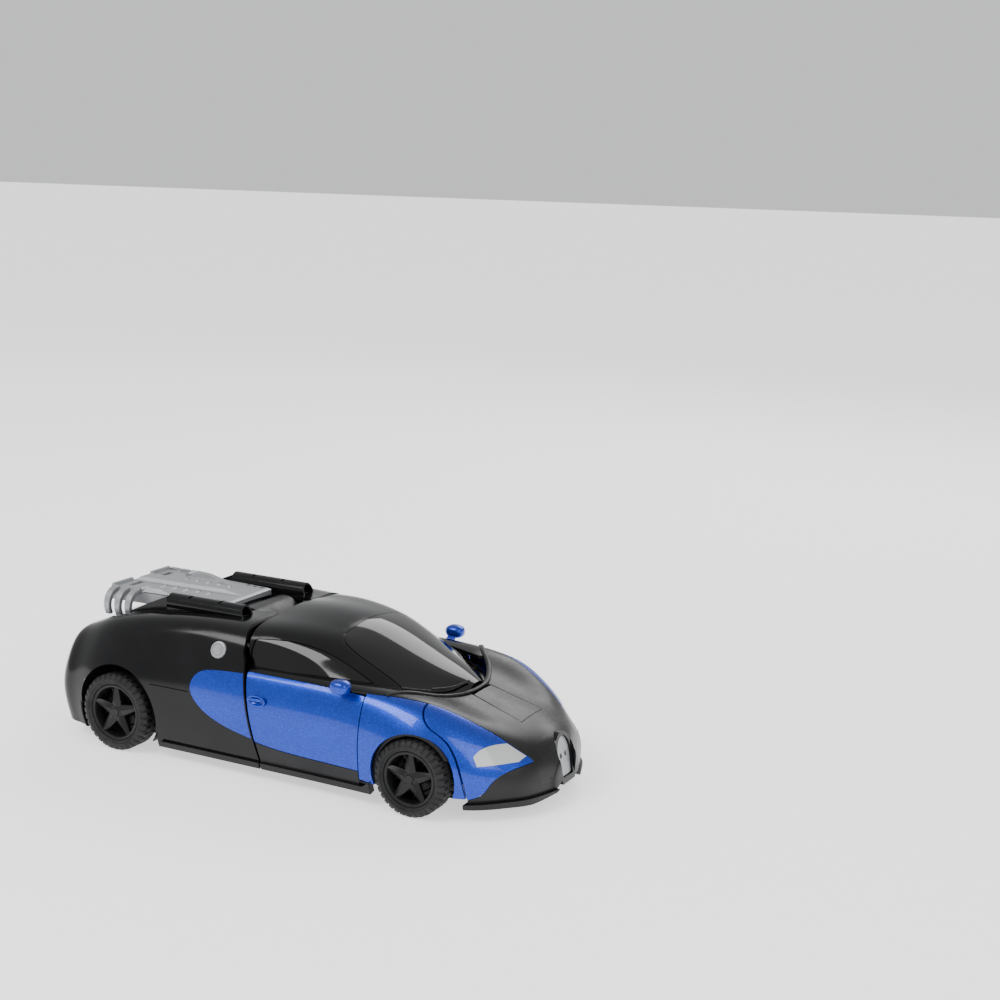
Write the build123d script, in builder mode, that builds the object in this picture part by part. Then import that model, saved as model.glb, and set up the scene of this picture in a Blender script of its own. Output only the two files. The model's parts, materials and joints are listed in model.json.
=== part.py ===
"""Toy car that folds up into a standing robot, in millimetres.

The car stands on four wheels. +X points to the front of the car, +Y to its left and +Z up.
The origin is on the ground below the middle of the car's box.
The tail and the rear wheels stay on the ground. The middle of the car turns up about the hip and
becomes the torso, the nose stays level on top of it as the shoulders, the head slides out of the
bonnet, and each door swings out on a pair of bars as an arm.
"""
from build123d import *
import os

os.makedirs("parts", exist_ok=True)

# Driving dimensions
WALL = 2.0
RUN = 0.05
REAR_RADIUS = 19.5
FRONT_RADIUS = 18.0
TYRE_WIDTH = 13.0
TYRE_INNER_Y = 45.4
RIM_SHARE = 0.73
REAR_AXLE_X = -88.0
FRONT_AXLE_X = 79.0
REAR_ARCH_RADIUS = 23.5
FRONT_ARCH_RADIUS = 20.6
AXLE_RADIUS = 2.0
HIP_X, HIP_Z = -37.0, 59.0
HIP_PIN_RADIUS = 3.0
SHOULDER_X, SHOULDER_Z = 84.2, 34.9
SHOULDER_PIN_RADIUS = 2.5
LINK_LENGTH = 42.0
LINK_NOSE_X = 90.0
LINK_ARM_X = LINK_NOSE_X - LINK_LENGTH
LINK_Y = 39.5
LINK_PIN_RADIUS = 2.0
NECK_RISE = (22.0, 11.0)
GROUND_GAP = 6.2
BIG = 200.0

# Body sections. Each row is the distance along the car, the sill's half width and height, the
# widest point's half width and height, the shoulder's half width and height, and the crown height.
FRONT_SECTIONS = [
    (-26, 53.0, 6.0, 56.0, 34.0, 50.8, 50.6, 51.5),
    (-4, 53.0, 6.0, 56.0, 34.0, 50.8, 50.6, 51.5),
    (18, 53.0, 6.0, 56.0, 34.0, 50.8, 50.6, 51.3),
    (38, 53.2, 6.0, 56.0, 34.0, 50.5, 50.5, 50.8),
    (56, 53.6, 6.0, 56.5, 33.5, 49.8, 50.2, 50.0),
    (72, 54.0, 6.0, 57.4, 33.0, 48.3, 49.4, 48.4),
    (87, 53.0, 6.0, 56.2, 30.0, 45.5, 46.6, 45.6),
    (100, 49.4, 6.0, 51.8, 25.0, 40.8, 41.0, 41.8),
    (111, 43.0, 6.0, 45.5, 21.0, 34.0, 35.4, 38.6),
    (120, 34.0, 6.0, 36.5, 18.5, 26.0, 30.4, 35.0),
    (127, 24.0, 6.5, 26.0, 17.0, 18.0, 26.0, 30.5),
    (132, 12.0, 8.0, 13.0, 15.0, 9.0, 21.0, 24.0),
]
REAR_SECTIONS = [
    (-133, 33.0, 17.0, 38.0, 27.0, 30.0, 38.0, 41.0),
    (-128, 43.0, 11.0, 47.5, 28.0, 38.0, 46.0, 49.5),
    (-118, 49.5, 7.0, 54.0, 30.0, 42.0, 54.0, 57.0),
    (-104, 52.5, 6.0, 57.6, 33.0, 44.0, 60.0, 62.0),
    (-88, 53.0, 6.0, 59.0, 35.0, 45.0, 64.0, 65.5),
    (-68, 53.0, 6.0, 58.0, 35.0, 44.5, 66.8, 68.0),
    (-45, 53.0, 6.0, 56.4, 35.0, 43.5, 68.0, 70.0),
    (-20, 53.0, 6.0, 56.0, 35.0, 42.5, 67.5, 72.5),
    (0, 53.0, 6.0, 56.0, 35.0, 42.0, 67.0, 73.5),
]
CABIN_BASE_Z = 44.5
# Cabin sections: distance along the car, half width at the base, roof edge and crown height.
CABIN_SECTIONS = [
    (-22, 48.4, 42.0, 66.5, 72.8),
    (-5, 48.6, 41.0, 67.0, 74.0),
    (12, 48.4, 38.5, 66.0, 73.4),
    (28, 47.6, 34.5, 63.6, 70.6),
    (45, 45.4, 30.0, 58.0, 64.4),
    (60, 40.4, 25.0, 52.6, 58.2),
    (73, 30.0, 18.0, 49.0, 53.2),
    (83, 13.0, 8.0, 46.8, 49.2),
]


def body_volume(sections, inset):
    """Closed lower-body volume through the given sections, drawn in by inset."""
    with BuildPart() as volume:
        for x, sill_y, sill_z, wide_y, wide_z, shoulder_y, shoulder_z, crown_z in sections:
            mid_y = (wide_y * 0.62 + shoulder_y * 0.38)
            mid_z = (wide_z * 0.40 + shoulder_z * 0.60)
            side = [
                (sill_y - inset, sill_z - inset),
                (wide_y - inset, wide_z),
                (mid_y - inset, mid_z - inset * 0.5),
                (shoulder_y - inset * 0.9, shoulder_z - inset),
            ]
            crown = (0, crown_z - inset)
            with BuildSketch(Plane.YZ.offset(x)):
                with BuildLine():
                    Line((-side[0][0], side[0][1]), side[0])
                    Spline(side)
                    Spline([side[3], crown, (-side[3][0], side[3][1])])
                    Spline([(-y, z) for y, z in reversed(side)])
                make_face()
        loft()
    return volume.part


def cabin_volume(inset):
    """Closed volume of the roof, windows and windscreen, drawn in by inset."""
    with BuildPart() as volume:
        for x, base_y, edge_y, edge_z, crown_z in CABIN_SECTIONS:
            base = (base_y - inset, CABIN_BASE_Z - inset)
            middle = (base_y * 0.52 + edge_y * 0.48 + 1.2 - inset, (CABIN_BASE_Z + edge_z) / 2)
            edge = (edge_y - inset, edge_z - inset * 0.5)
            crown = (0, crown_z - inset)
            with BuildSketch(Plane.YZ.offset(x)):
                with BuildLine():
                    Line((-base[0], base[1]), base)
                    Spline([base, middle, edge])
                    Spline([edge, crown, (-edge[0], edge[1])])
                    Spline([(-edge[0], edge[1]), (-middle[0], middle[1]), (-base[0], base[1])])
                make_face()
        loft()
    return volume.part


def side_prism(outline, y_low, y_high):
    """Solid with the given side-view outline (x, z) between two distances from the middle."""
    with BuildPart() as prism:
        with BuildSketch(Plane.XZ.offset(-y_high)):
            with BuildLine():
                Polyline(*outline, close=True)
            make_face()
        extrude(amount=y_high - y_low)
    return prism.part


def plan_prism(outline, z_low, z_high):
    """Solid with the given plan-view outline (x, y) between two heights."""
    with BuildPart() as prism:
        with BuildSketch(Plane.XY.offset(z_low)):
            with BuildLine():
                Polyline(*outline, close=True)
            make_face()
        extrude(amount=z_high - z_low)
    return prism.part


def cross_pin(x, z, radius, y_low, y_high):
    """Round bar along Y."""
    with BuildPart() as bar:
        with BuildSketch(Plane.XZ.offset(-y_high)):
            with Locations((x, z)):
                Circle(radius)
        extrude(amount=y_high - y_low)
    return bar.part


def upright_pin(x, y, radius, z_low, z_high):
    """Round bar along Z."""
    with BuildPart() as bar:
        with BuildSketch(Plane.XY.offset(z_low)):
            with Locations((x, y)):
                Circle(radius)
        extrude(amount=z_high - z_low)
    return bar.part


def long_bar(y, z, radius, x_low, x_high):
    """Round bar along X."""
    with BuildPart() as bar:
        with BuildSketch(Plane.YZ.offset(x_low)):
            with Locations((y, z)):
                Circle(radius)
        extrude(amount=x_high - x_low)
    return bar.part


def block(x_low, x_high, y_low, y_high, z_low, z_high):
    """Rectangular solid between the given limits."""
    with BuildPart() as box:
        with Locations(((x_low + x_high) / 2, (y_low + y_high) / 2, (z_low + z_high) / 2)):
            Box(x_high - x_low, y_high - y_low, z_high - z_low)
    return box.part


def both_sides(inner, outer):
    """The span between two distances from the middle, on the left and on the right."""
    return (inner, outer), (-outer, -inner)


def joined(*solids):
    """One piece made of touching solids."""
    with BuildPart() as piece:
        for solid in solids:
            add(solid)
    return piece.part


def mirrored(solid):
    """The same piece on the right side of the car."""
    with BuildPart() as piece:
        mirror(solid, about=Plane.XZ)
    return piece.part


front_outer = body_volume(FRONT_SECTIONS, 0)
front_inner = body_volume(FRONT_SECTIONS, WALL)
rear_outer = body_volume(REAR_SECTIONS, 0)
rear_inner = body_volume(REAR_SECTIONS, WALL)
cabin_outer = cabin_volume(0)
cabin_inner = cabin_volume(WALL)

with BuildPart() as front_shell:
    add(front_outer)
    add(front_inner.intersect(block(-BIG, 129.5, -BIG, BIG, -BIG, BIG)), mode=Mode.SUBTRACT)
    add(block(-BIG, BIG, -BIG, BIG, -BIG, GROUND_GAP), mode=Mode.SUBTRACT)

with BuildPart() as rear_shell_whole:
    add(rear_outer)
    add(rear_inner.intersect(block(-130.5, BIG, -BIG, BIG, -BIG, BIG)), mode=Mode.SUBTRACT)
    add(block(-BIG, BIG, -BIG, BIG, -BIG, GROUND_GAP), mode=Mode.SUBTRACT)

with BuildPart() as cabin_shell:
    add(cabin_outer)
    add(cabin_inner.intersect(block(-BIG, 81.0, -BIG, BIG, -BIG, BIG)), mode=Mode.SUBTRACT)

# Seam lines in side view, (x, z)
DOOR_SEAM_TOP = (-17.2, 66.0)
DOOR_SEAM_LOW = (-3.0, 5.5)
DOOR_FRONT_X = 51.5
BELT_Z = 50.4
GAP = 0.5
NOSE_SEAM = [
    (78.5, 60.0), (80.0, 48.8), (84.5, 43.0), (93.0, 37.5), (99.5, 29.5), (103.0, 20.0), (105.0, 5.0),
]


def seam_x(z):
    """Distance along the car of the door's rear seam at a height."""
    share = (DOOR_SEAM_TOP[1] - z) / (DOOR_SEAM_TOP[1] - DOOR_SEAM_LOW[1])
    return DOOR_SEAM_TOP[0] + share * (DOOR_SEAM_LOW[0] - DOOR_SEAM_TOP[0])


# ---------------------------------------------------------------- base: tail, chassis and feet
# The tail shell ends at the door seam, and above the hip it stays inside the cabin's swing.
CABIN_SWING = 20.3
TAIL_SWING = CABIN_SWING - 0.6
TAIL_CUT = [
    (seam_x(0) - GAP, 0), (seam_x(56) - GAP, 56), (HIP_X + TAIL_SWING, 60),
    (HIP_X, 60), (HIP_X, 90), (60, 90), (60, 0),
]
with BuildPart() as rear_shell:
    add(rear_shell_whole.part)
    add(side_prism(TAIL_CUT, -BIG, BIG), mode=Mode.SUBTRACT)
    add(
        rear_shell_whole.part.intersect(
            cross_pin(HIP_X, HIP_Z, TAIL_SWING, -BIG, BIG),
            block(HIP_X - 1, 60, -BIG, BIG, 59.5, 90),
        )
    )
    # slot that the torso's beam swings through
    add(block(-47.5, 10, -16.0, 16.0, 62, 90), mode=Mode.SUBTRACT)
    # wheel openings
    add(cross_pin(REAR_AXLE_X + 1, REAR_RADIUS + 1, REAR_ARCH_RADIUS, -BIG, BIG), mode=Mode.SUBTRACT)
    add(block(REAR_AXLE_X - 22, REAR_AXLE_X + 24, -BIG, BIG, -1, 15), mode=Mode.SUBTRACT)

SIDE_WALL_Y = 38.6
SIDE_WALL = 2.4
FLOOR_LOW_Z, FLOOR_TOP_Z = GROUND_GAP, 8.6
SCREW_RADIUS = 2.2
SCREW_TOP_Z = 11.4
SCREW_PLACES = [(x, y) for x in (-113, -58, -14) for y in (-33, 33)]
with BuildPart() as chassis_base:
    add(block(-122, 1.5, -41, 41, FLOOR_LOW_Z, FLOOR_TOP_Z))
    for low, high in both_sides(SIDE_WALL_Y, SIDE_WALL_Y + SIDE_WALL):
        add(block(-64, 1.5, low, high, FLOOR_TOP_Z, 52))
        add(side_prism([(-52, 52), (-46, 65), (-28, 65), (-16, 58), (1.5, 57), (1.5, 52)], low, high))
    for low, high in both_sides(30, 36):
        # bearing blocks for the rear axle
        add(block(REAR_AXLE_X - 6, REAR_AXLE_X + 6, low, high, FLOOR_TOP_Z, 27))
    for low, high in both_sides(41, 51):
        # outer step along the sill behind the door
        add(block(-62, -8, low, high, FLOOR_LOW_Z, FLOOR_TOP_Z))
    for x, y in SCREW_PLACES:
        # posts round the screws that hold the shells
        add(upright_pin(x, y, SCREW_RADIUS + 1.8, FLOOR_TOP_Z, SCREW_TOP_Z))
    add(block(-66, -63.6, -41, 41, FLOOR_TOP_Z, 44))
    add(cross_pin(REAR_AXLE_X, REAR_RADIUS, AXLE_RADIUS + RUN, -50, 50), mode=Mode.SUBTRACT)
    add(cross_pin(HIP_X, HIP_Z, HIP_PIN_RADIUS, -50, 50), mode=Mode.SUBTRACT)
    add(cross_pin(REAR_AXLE_X, REAR_RADIUS, 13.5, -4, 8), mode=Mode.SUBTRACT)
    # slot for the power switch, and the sunk seats of the screws
    add(block(-42.2, -34.8, -2.2, 2.2, 5, 9), mode=Mode.SUBTRACT)
    for x, y in SCREW_PLACES:
        add(upright_pin(x, y, SCREW_RADIUS, 0, 12), mode=Mode.SUBTRACT)
chassis_base.part.label = "chassis_base"
export_step(chassis_base.part, "parts/chassis_base.step")

ROLLER_X, ROLLER_Z = 38.0, 4.4
# Foot block: the robot's shins, heel roller seat and toes in front of the chassis.
with BuildPart() as foot_block:
    add(block(2.0, 17, -36, 36, 4.5, 8.5))
    add(block(2.0, 3.6, -38.6, 38.6, 8.5, 24))
    add(side_prism([(-1.6, 22), (2.4, 22), (1.0, 33), (-1.6, 33)], -36, 36))
    add(cross_pin(9.5, 18.5, 4.4, -33, 33))
    add(block(3.6, 9.5, -33, 33, 12.0, 16.0))
    add(block(3.6, 20, -9, 9, 4.5, 14.0))
    for low, high in both_sides(33, 38.6):
        add(side_prism([(2.0, 4.5), (2.0, 27), (7, 26), (14, 20), (17, 4.5)], low, high))
    for low, high in both_sides(21, 34):
        # toes
        add(side_prism([(12, 1.0), (31, 1.0), (31, 6.0), (24, 10.0), (12, 10.0)], low, high))
    for low, high in both_sides(3.0, 5.2):
        # fork of the roller
        add(side_prism([(18, 2.0), (40, 2.0), (42, 5.5), (38, 8.5), (18, 12.0)], low, high))
    for step in (20, 24, 28):
        # discs on the shin bar
        for low, high in both_sides(step, step + 1.6):
            add(cross_pin(9.5, 18.5, 5.4, low, high))
    add(cross_pin(ROLLER_X, ROLLER_Z, 1.5 + RUN, -10, 10), mode=Mode.SUBTRACT)
foot_block.part.label = "foot_block"
export_step(foot_block.part, "parts/foot_block.step")

with BuildPart() as foot_roller:
    add(cross_pin(ROLLER_X, ROLLER_Z, 4.0, -2.6, 2.6))
    add(cross_pin(ROLLER_X, ROLLER_Z, 1.5, -5.2, 5.2))
foot_roller.part.label = "foot_roller"
export_step(foot_roller.part, "parts/foot_roller.step")

with BuildPart() as hip_pin:
    add(cross_pin(HIP_X, HIP_Z, HIP_PIN_RADIUS, -41, 41))
hip_pin.part.label = "hip_pin"
export_step(hip_pin.part, "parts/hip_pin.step")

# Engine cover on the tail deck, wider at the back, with a raised middle and cooling slots.
DECK_Z = 68.0
with BuildPart() as engine_cover:
    with BuildSketch(Plane.XY.offset(DECK_Z - 2.0)):
        with BuildLine():
            Polyline((-118, 24), (-47.9, 19), (-47.9, -19), (-118, -24), close=True)
        make_face()
    extrude(amount=6.5)
    with BuildSketch(Plane.XY.offset(DECK_Z + 4.5)):
        with BuildLine():
            Polyline((-116, 16), (-62, 13), (-50, 7), (-50, -7), (-62, -13), (-116, -16), close=True)
        make_face()
    extrude(amount=2.0, taper=20)
    with BuildSketch(Plane.XY.offset(DECK_Z + 3.2)):
        for row in (-1, 1):
            with GridLocations(7.0, 0, 5, 1):
                with Locations((-88, row * 9)):
                    SlotOverall(8.0, 2.2, rotation=90)
    extrude(amount=6, mode=Mode.SUBTRACT)
    # the tail's own roof stays below the cover
    add(rear_outer, mode=Mode.SUBTRACT)
    add(rear_shell.part, mode=Mode.SUBTRACT)
engine_cover.part.label = "engine_cover"
export_step(engine_cover.part, "parts/engine_cover.step")

# Curved cooling fins down each side of the cover's back end, (y, z) from the front.
FIN_OUTLINE = [(22, 73.0), (26, 72.4), (30, 69.6), (31.6, 65.6), (30.6, 60), (29, 56), (20, 56), (20, 66)]
with BuildPart() as engine_fins:
    for row in range(3):
        for flip in (-1, 1):
            with BuildSketch(Plane.YZ.offset(-116.5 + 6.6 * row)):
                with BuildLine():
                    Polyline(*[(flip * y, z) for y, z in FIN_OUTLINE], close=True)
                make_face()
            extrude(amount=3.4)
    add(rear_outer, mode=Mode.SUBTRACT)
    add(engine_cover.part, mode=Mode.SUBTRACT)
engine_fins.part.label = "engine_fins"
export_step(engine_fins.part, "parts/engine_fins.step")

POD_Y, POD_Z, POD_RADIUS = 27.0, 71.2, 4.6
with BuildPart() as pod_shape:
    add(
        side_prism([(-76, 60), (-76, 80), (-33, 80), (-27.5, 66), (-27.5, 60)], 15, 40).intersect(
            joined(
                long_bar(POD_Y, POD_Z, POD_RADIUS, -82, -26),
                block(-78, -27, POD_Y - POD_RADIUS, POD_Y + POD_RADIUS, POD_Z - 4.5, POD_Z),
            )
        )
    )
    add(rear_outer, mode=Mode.SUBTRACT)
with BuildPart() as intake_pods:
    add(pod_shape.part)
    mirror(pod_shape.part, about=Plane.XZ)
intake_pods.part.label = "intake_pods"
export_step(intake_pods.part, "parts/intake_pods.step")

with BuildPart() as accent_shape:
    # crescent on the tail shell that carries the door's colour back past the seam
    with BuildSketch(Plane.XZ.offset(-80)):
        with BuildLine():
            Polyline((seam_x(51) - 1.2, 51), (seam_x(20) - 1.2, 20))
            Spline(
                (seam_x(20) - 1.2, 20), (-30, 26.5), (-41, 34.5),
                (-43, 43.0), (-35, 49), (seam_x(51) - 1.2, 51),
            )
        make_face()
    extrude(amount=40)
    add(rear_outer, mode=Mode.INTERSECT)
    add(rear_inner, mode=Mode.SUBTRACT)
with BuildPart() as rear_shell_cut:
    add(rear_shell.part)
    add(accent_shape.part, mode=Mode.SUBTRACT)
    add(mirrored(accent_shape.part), mode=Mode.SUBTRACT)
rear_shell_cut.part.label = "rear_shell"
export_step(rear_shell_cut.part, "parts/rear_shell.step")
with BuildPart() as tail_accents:
    add(accent_shape.part)
    mirror(accent_shape.part, about=Plane.XZ)
tail_accents.part.label = "tail_accents"
export_step(tail_accents.part, "parts/tail_accents.step")

with BuildPart() as fuel_caps:
    for low, high in both_sides(47.0, 51.0):
        add(cross_pin(-31, 59.5, 4.2, low, high))
    add(rear_outer, mode=Mode.SUBTRACT)
fuel_caps.part.label = "fuel_caps"
export_step(fuel_caps.part, "parts/fuel_caps.step")

with BuildPart() as tail_lamps:
    for flip in (-1, 1):
        add(long_bar(flip * 24, 38, 4.5, -132.9, -128))
    add(rear_outer, mode=Mode.SUBTRACT)
tail_lamps.part.label = "tail_lamps"
export_step(tail_lamps.part, "parts/tail_lamps.step")

with BuildPart() as chassis_screws:
    # cross-head screws, sunk in the floor
    for x, y in SCREW_PLACES:
        add(upright_pin(x, y, SCREW_RADIUS, FLOOR_LOW_Z + 0.6, SCREW_TOP_Z))
chassis_screws.part.label = "chassis_screws"
export_step(chassis_screws.part, "parts/chassis_screws.step")

# Working parts inside the tail
with BuildPart() as battery_pack:
    add(block(-112, -68, -27, 27, 34, 50))
    fillet(battery_pack.edges().filter_by(Axis.Y), 3)
battery_pack.part.label = "battery_pack"
export_step(battery_pack.part, "parts/battery_pack.step")

with BuildPart() as circuit_board:
    add(block(-112, -66, -30, 30, 54, 55.6))
    add(block(-100, -90, -8, 8, 55.6, 58.6))
    add(block(-82, -74, 4, 14, 55.6, 60))
circuit_board.part.label = "circuit_board"
export_step(circuit_board.part, "parts/circuit_board.step")

with BuildPart() as drive_motor:
    add(cross_pin(-74.6, 19.5, 7.9, 10, 29.5))
    add(cross_pin(-74.6, 19.5, 1, 7, 10))
drive_motor.part.label = "drive_motor"
export_step(drive_motor.part, "parts/drive_motor.step")

with BuildPart() as fold_motor:
    add(cross_pin(-56, 18, 6, -30, 0))
    add(block(-62, -50, 0, 14, 11, 25))
fold_motor.part.label = "fold_motor"
export_step(fold_motor.part, "parts/fold_motor.step")

with BuildPart() as power_switch:
    add(block(-43, -37, -4, 4, 8.9, 11.5))
    add(block(-41.5, -38.5, -1.8, 1.8, FLOOR_LOW_Z + 0.3, 8.9))
power_switch.part.label = "power_switch"
export_step(power_switch.part, "parts/power_switch.step")

# Wheels
GEAR_TEETH = 24
with BuildPart() as rear_axle:
    add(cross_pin(REAR_AXLE_X, REAR_RADIUS, AXLE_RADIUS, -56.9, 56.9))
rear_axle.part.label = "rear_axle"
export_step(rear_axle.part, "parts/rear_axle.step")

with BuildPart() as drive_gear:
    with BuildSketch(Plane.XZ.offset(-5)):
        with Locations((REAR_AXLE_X, REAR_RADIUS)):
            Circle(11)
            with PolarLocations(11.2, GEAR_TEETH):
                Rectangle(2.4, 1.4)
            Circle(AXLE_RADIUS, mode=Mode.SUBTRACT)
    extrude(amount=5)
drive_gear.part.label = "drive_gear"
export_step(drive_gear.part, "parts/drive_gear.step")


def tyre_solid(x, radius):
    """Tyre of the left side, with rounded shoulders."""
    inner_y = TYRE_INNER_Y
    outer_y = inner_y + TYRE_WIDTH
    with BuildPart() as tyre:
        with BuildSketch(Plane.XY.offset(radius)):
            with BuildLine():
                Polyline(
                    (x + radius * RIM_SHARE, inner_y), (x + radius - 1.5, inner_y),
                    (x + radius, inner_y + 2.0), (x + radius, outer_y - 2.0),
                    (x + radius - 1.5, outer_y), (x + radius * RIM_SHARE, outer_y),
                    close=True,
                )
            make_face()
        revolve(axis=Axis((x, 0, radius), (0, 1, 0)))
    return tyre.part


def rim_solid(x, radius, bore):
    """Five-spoke rim of the left side, with a hub of the given bore."""
    inner_y = TYRE_INNER_Y
    outer_y = inner_y + TYRE_WIDTH
    rim_radius = radius * RIM_SHARE
    with BuildPart() as rim:
        with BuildSketch(Plane.XZ.offset(-(outer_y - 1.0))):
            with Locations((x, radius)):
                Circle(rim_radius)
                Circle(rim_radius - 1.8, mode=Mode.SUBTRACT)
        extrude(amount=TYRE_WIDTH - 2.0)
        with BuildSketch(Plane.XZ.offset(-(outer_y - 1.4))):
            with Locations((x, radius)):
                Circle(4.2)
                with PolarLocations(rim_radius * 0.5, 5, start_angle=90):
                    Rectangle(rim_radius - 2.0, 2.6)
        extrude(amount=2.6)
        add(cross_pin(x, radius, 4.2, inner_y + 1.0, outer_y - 1.4))
        add(cross_pin(x, radius, bore, inner_y, outer_y - 1.5), mode=Mode.SUBTRACT)
    return rim.part


for end, axle_x, radius, bore in (
    ("rear", REAR_AXLE_X, REAR_RADIUS, AXLE_RADIUS),
    ("front", FRONT_AXLE_X, FRONT_RADIUS, AXLE_RADIUS + RUN),
):
    tyre_shape = tyre_solid(axle_x, radius)
    rim_shape = rim_solid(axle_x, radius, bore)
    for side in ("left", "right"):
        with BuildPart() as tyre:
            add(tyre_shape if side == "left" else mirrored(tyre_shape))
        tyre.part.label = f"{end}_tyre_{side}"
        export_step(tyre.part, f"parts/{end}_tyre_{side}.step")
        with BuildPart() as rim:
            add(rim_shape if side == "left" else mirrored(rim_shape))
        rim.part.label = f"{end}_rim_{side}"
        export_step(rim.part, f"parts/{end}_rim_{side}.step")

# ---------------------------------------------------------------- torso and cabin
NECK_X, NECK_Z = 84.0, 36.5
NECK_RADIUS = 3.0
# Ribs behind the legs and up to the shoulders, (x, z) in side view
RIB_OUTLINE = [
    (-44, 28), (-38, 36), (-15, 50), (-10, 60), (44, 58), (60, 46), (80, 40), (88, 39),
    (88, 31), (76, 31), (60, 30), (46, 22), (24, 24), (14, 34), (-8, 36), (-26, 28),
]
with BuildPart() as torso_frame:
    # drum that turns on the hip pin, and the beam up to the chest
    add(cross_pin(HIP_X, HIP_Z, 12.0, -15.2, 15.2))
    add(side_prism([(-37, 50), (-37, 66.5), (-17, 66.5), (40, 62), (52, 44), (40, 36), (0, 42)], -15.2, 15.2))
    add(block(-18, 36, -12.2, 12.2, 30, 59), mode=Mode.SUBTRACT)
    for low, high in both_sides(25, 31):
        add(side_prism(RIB_OUTLINE, low, high))
    add(block(-10, 48, -31, 31, 42, 46))
    add(block(26, 58, -31, 31, 30, 34))
    add(block(48.5, 72, -9, 9, 22, 42))
    add(cross_pin(HIP_X, HIP_Z, CABIN_SWING + 0.1, 15.3, 50), mode=Mode.SUBTRACT)
    add(cross_pin(HIP_X, HIP_Z, CABIN_SWING + 0.1, -50, -15.3), mode=Mode.SUBTRACT)
    # seats for the armour and clearance under the windscreen
    add(block(8, 48.4, -40, 40, 10, 28.2), mode=Mode.SUBTRACT)
    add(block(-8, 14, -40, 40, 10, 38.5), mode=Mode.SUBTRACT)
    add(cabin_shell.part, mode=Mode.SUBTRACT)
    # shoulder pin bores
    add(cross_pin(SHOULDER_X, SHOULDER_Z, SHOULDER_PIN_RADIUS + RUN, -50, 50), mode=Mode.SUBTRACT)
    add(cross_pin(HIP_X, HIP_Z, HIP_PIN_RADIUS + RUN, -50, 50), mode=Mode.SUBTRACT)
    # neck rail
    neck_plane = Plane(origin=(NECK_X, 0, NECK_Z), x_dir=(0, 1, 0), z_dir=(-NECK_RISE[0], 0, -NECK_RISE[1]))
    with BuildSketch(neck_plane):
        Circle(NECK_RADIUS + RUN)
    extrude(amount=46, mode=Mode.SUBTRACT)
torso_frame.part.label = "torso_frame"
export_step(torso_frame.part, "parts/torso_frame.step")

# Armour on the front of the torso, which faces the ground while it is a car. In side view the
# waist stays above the foot block's swing.
with BuildPart() as chest_armour:
    with BuildSketch(Plane.XY.offset(19.6)):
        with BuildLine():
            Polyline(
                (46, 34), (44, 12), (36, 0), (44, -12), (46, -34), (38, -31),
                (30, -20), (15, -11), (13, 0), (15, 11), (30, 20), (38, 31),
                close=True,
            )
        make_face()
    extrude(amount=4.0, taper=-8)
    add(block(11, 22, -13, 13, 19, 23.2), mode=Mode.SUBTRACT)
    with BuildSketch(Plane.XY.offset(23.6)):
        with BuildLine():
            Polyline((44, 12), (36, 0), (44, -12), (30, -18), (22, -10), (22, 10), (30, 18), close=True)
        make_face()
    extrude(amount=4.4)
chest_armour.part.label = "chest_armour"
export_step(chest_armour.part, "parts/chest_armour.step")

with BuildPart() as chest_plate:
    with BuildSketch(Plane.XY.offset(18.0)):
        with BuildLine():
            Polyline(
                (50, 11), (42.5, 12.5), (37, 3.5), (31, 0), (37, -3.5), (42.5, -12.5), (50, -11), (47, 0),
                close=True,
            )
        make_face()
    extrude(amount=1.6)
    with BuildSketch(Plane.XY.offset(19.6)):
        with BuildLine():
            Polyline((50, 11), (44.4, 11.4), (36.5, -0.2), (44.4, -11.4), (50, -11), close=True)
        make_face()
    extrude(amount=2.3)
    add(chest_armour.part, mode=Mode.SUBTRACT)
chest_plate.part.label = "chest_plate"
export_step(chest_plate.part, "parts/chest_plate.step")

with BuildPart() as waist_armour:
    with BuildSketch(Plane.XY.offset(34.4)):
        with BuildLine():
            Polyline(
                (12, 26), (9, 10), (9, -10), (12, -26), (6, -31), (-4, -30),
                (-6, -18), (-1, -6), (-1, 6), (-6, 18), (-4, 30), (6, 31),
                close=True,
            )
        make_face()
    extrude(amount=4.0)
waist_armour.part.label = "waist_armour"
export_step(waist_armour.part, "parts/waist_armour.step")

with BuildPart() as waist_plate:
    with BuildSketch(Plane.XY.offset(33.6)):
        with BuildLine():
            Polyline((-2, 6), (-14, 7), (-21, 3), (-23, 0), (-21, -3), (-14, -7), (-2, -6), close=True)
        make_face()
    extrude(amount=5.0)
waist_plate.part.label = "waist_plate"
export_step(waist_plate.part, "parts/waist_plate.step")

with BuildPart() as thigh_plates:
    for low, high in both_sides(15, 27):
        add(side_prism([(-26, 24.2), (-9, 30.5), (-6.4, 35), (-8, 38), (-26, 31)], low, high))
    for rib in range(4):
        add(block(-24.5 + 4.4 * rib, -22.6 + 4.4 * rib, -28, 28, 20, 26.4 + 1.6 * rib), mode=Mode.SUBTRACT)
    add(torso_frame.part, mode=Mode.SUBTRACT)
thigh_plates.part.label = "thigh_plates"
export_step(thigh_plates.part, "parts/thigh_plates.step")

KNEE_OUTLINE = [(-47, 25.5), (-45, 22.2), (-30, 21.0), (-26.5, 21.5), (-26.5, 33), (-30, 38), (-44, 32)]
with BuildPart() as knee_pads:
    for low, high in both_sides(15, 32):
        add(side_prism(KNEE_OUTLINE, low, high))
    for low, high in both_sides(30, 33.5):
        add(side_prism([(-47, 26), (-28, 26), (-28, 36), (-38, 36), (-47, 33)], low, high))
    add(torso_frame.part, mode=Mode.SUBTRACT)
knee_pads.part.label = "knee_pads"
export_step(knee_pads.part, "parts/knee_pads.step")

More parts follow.
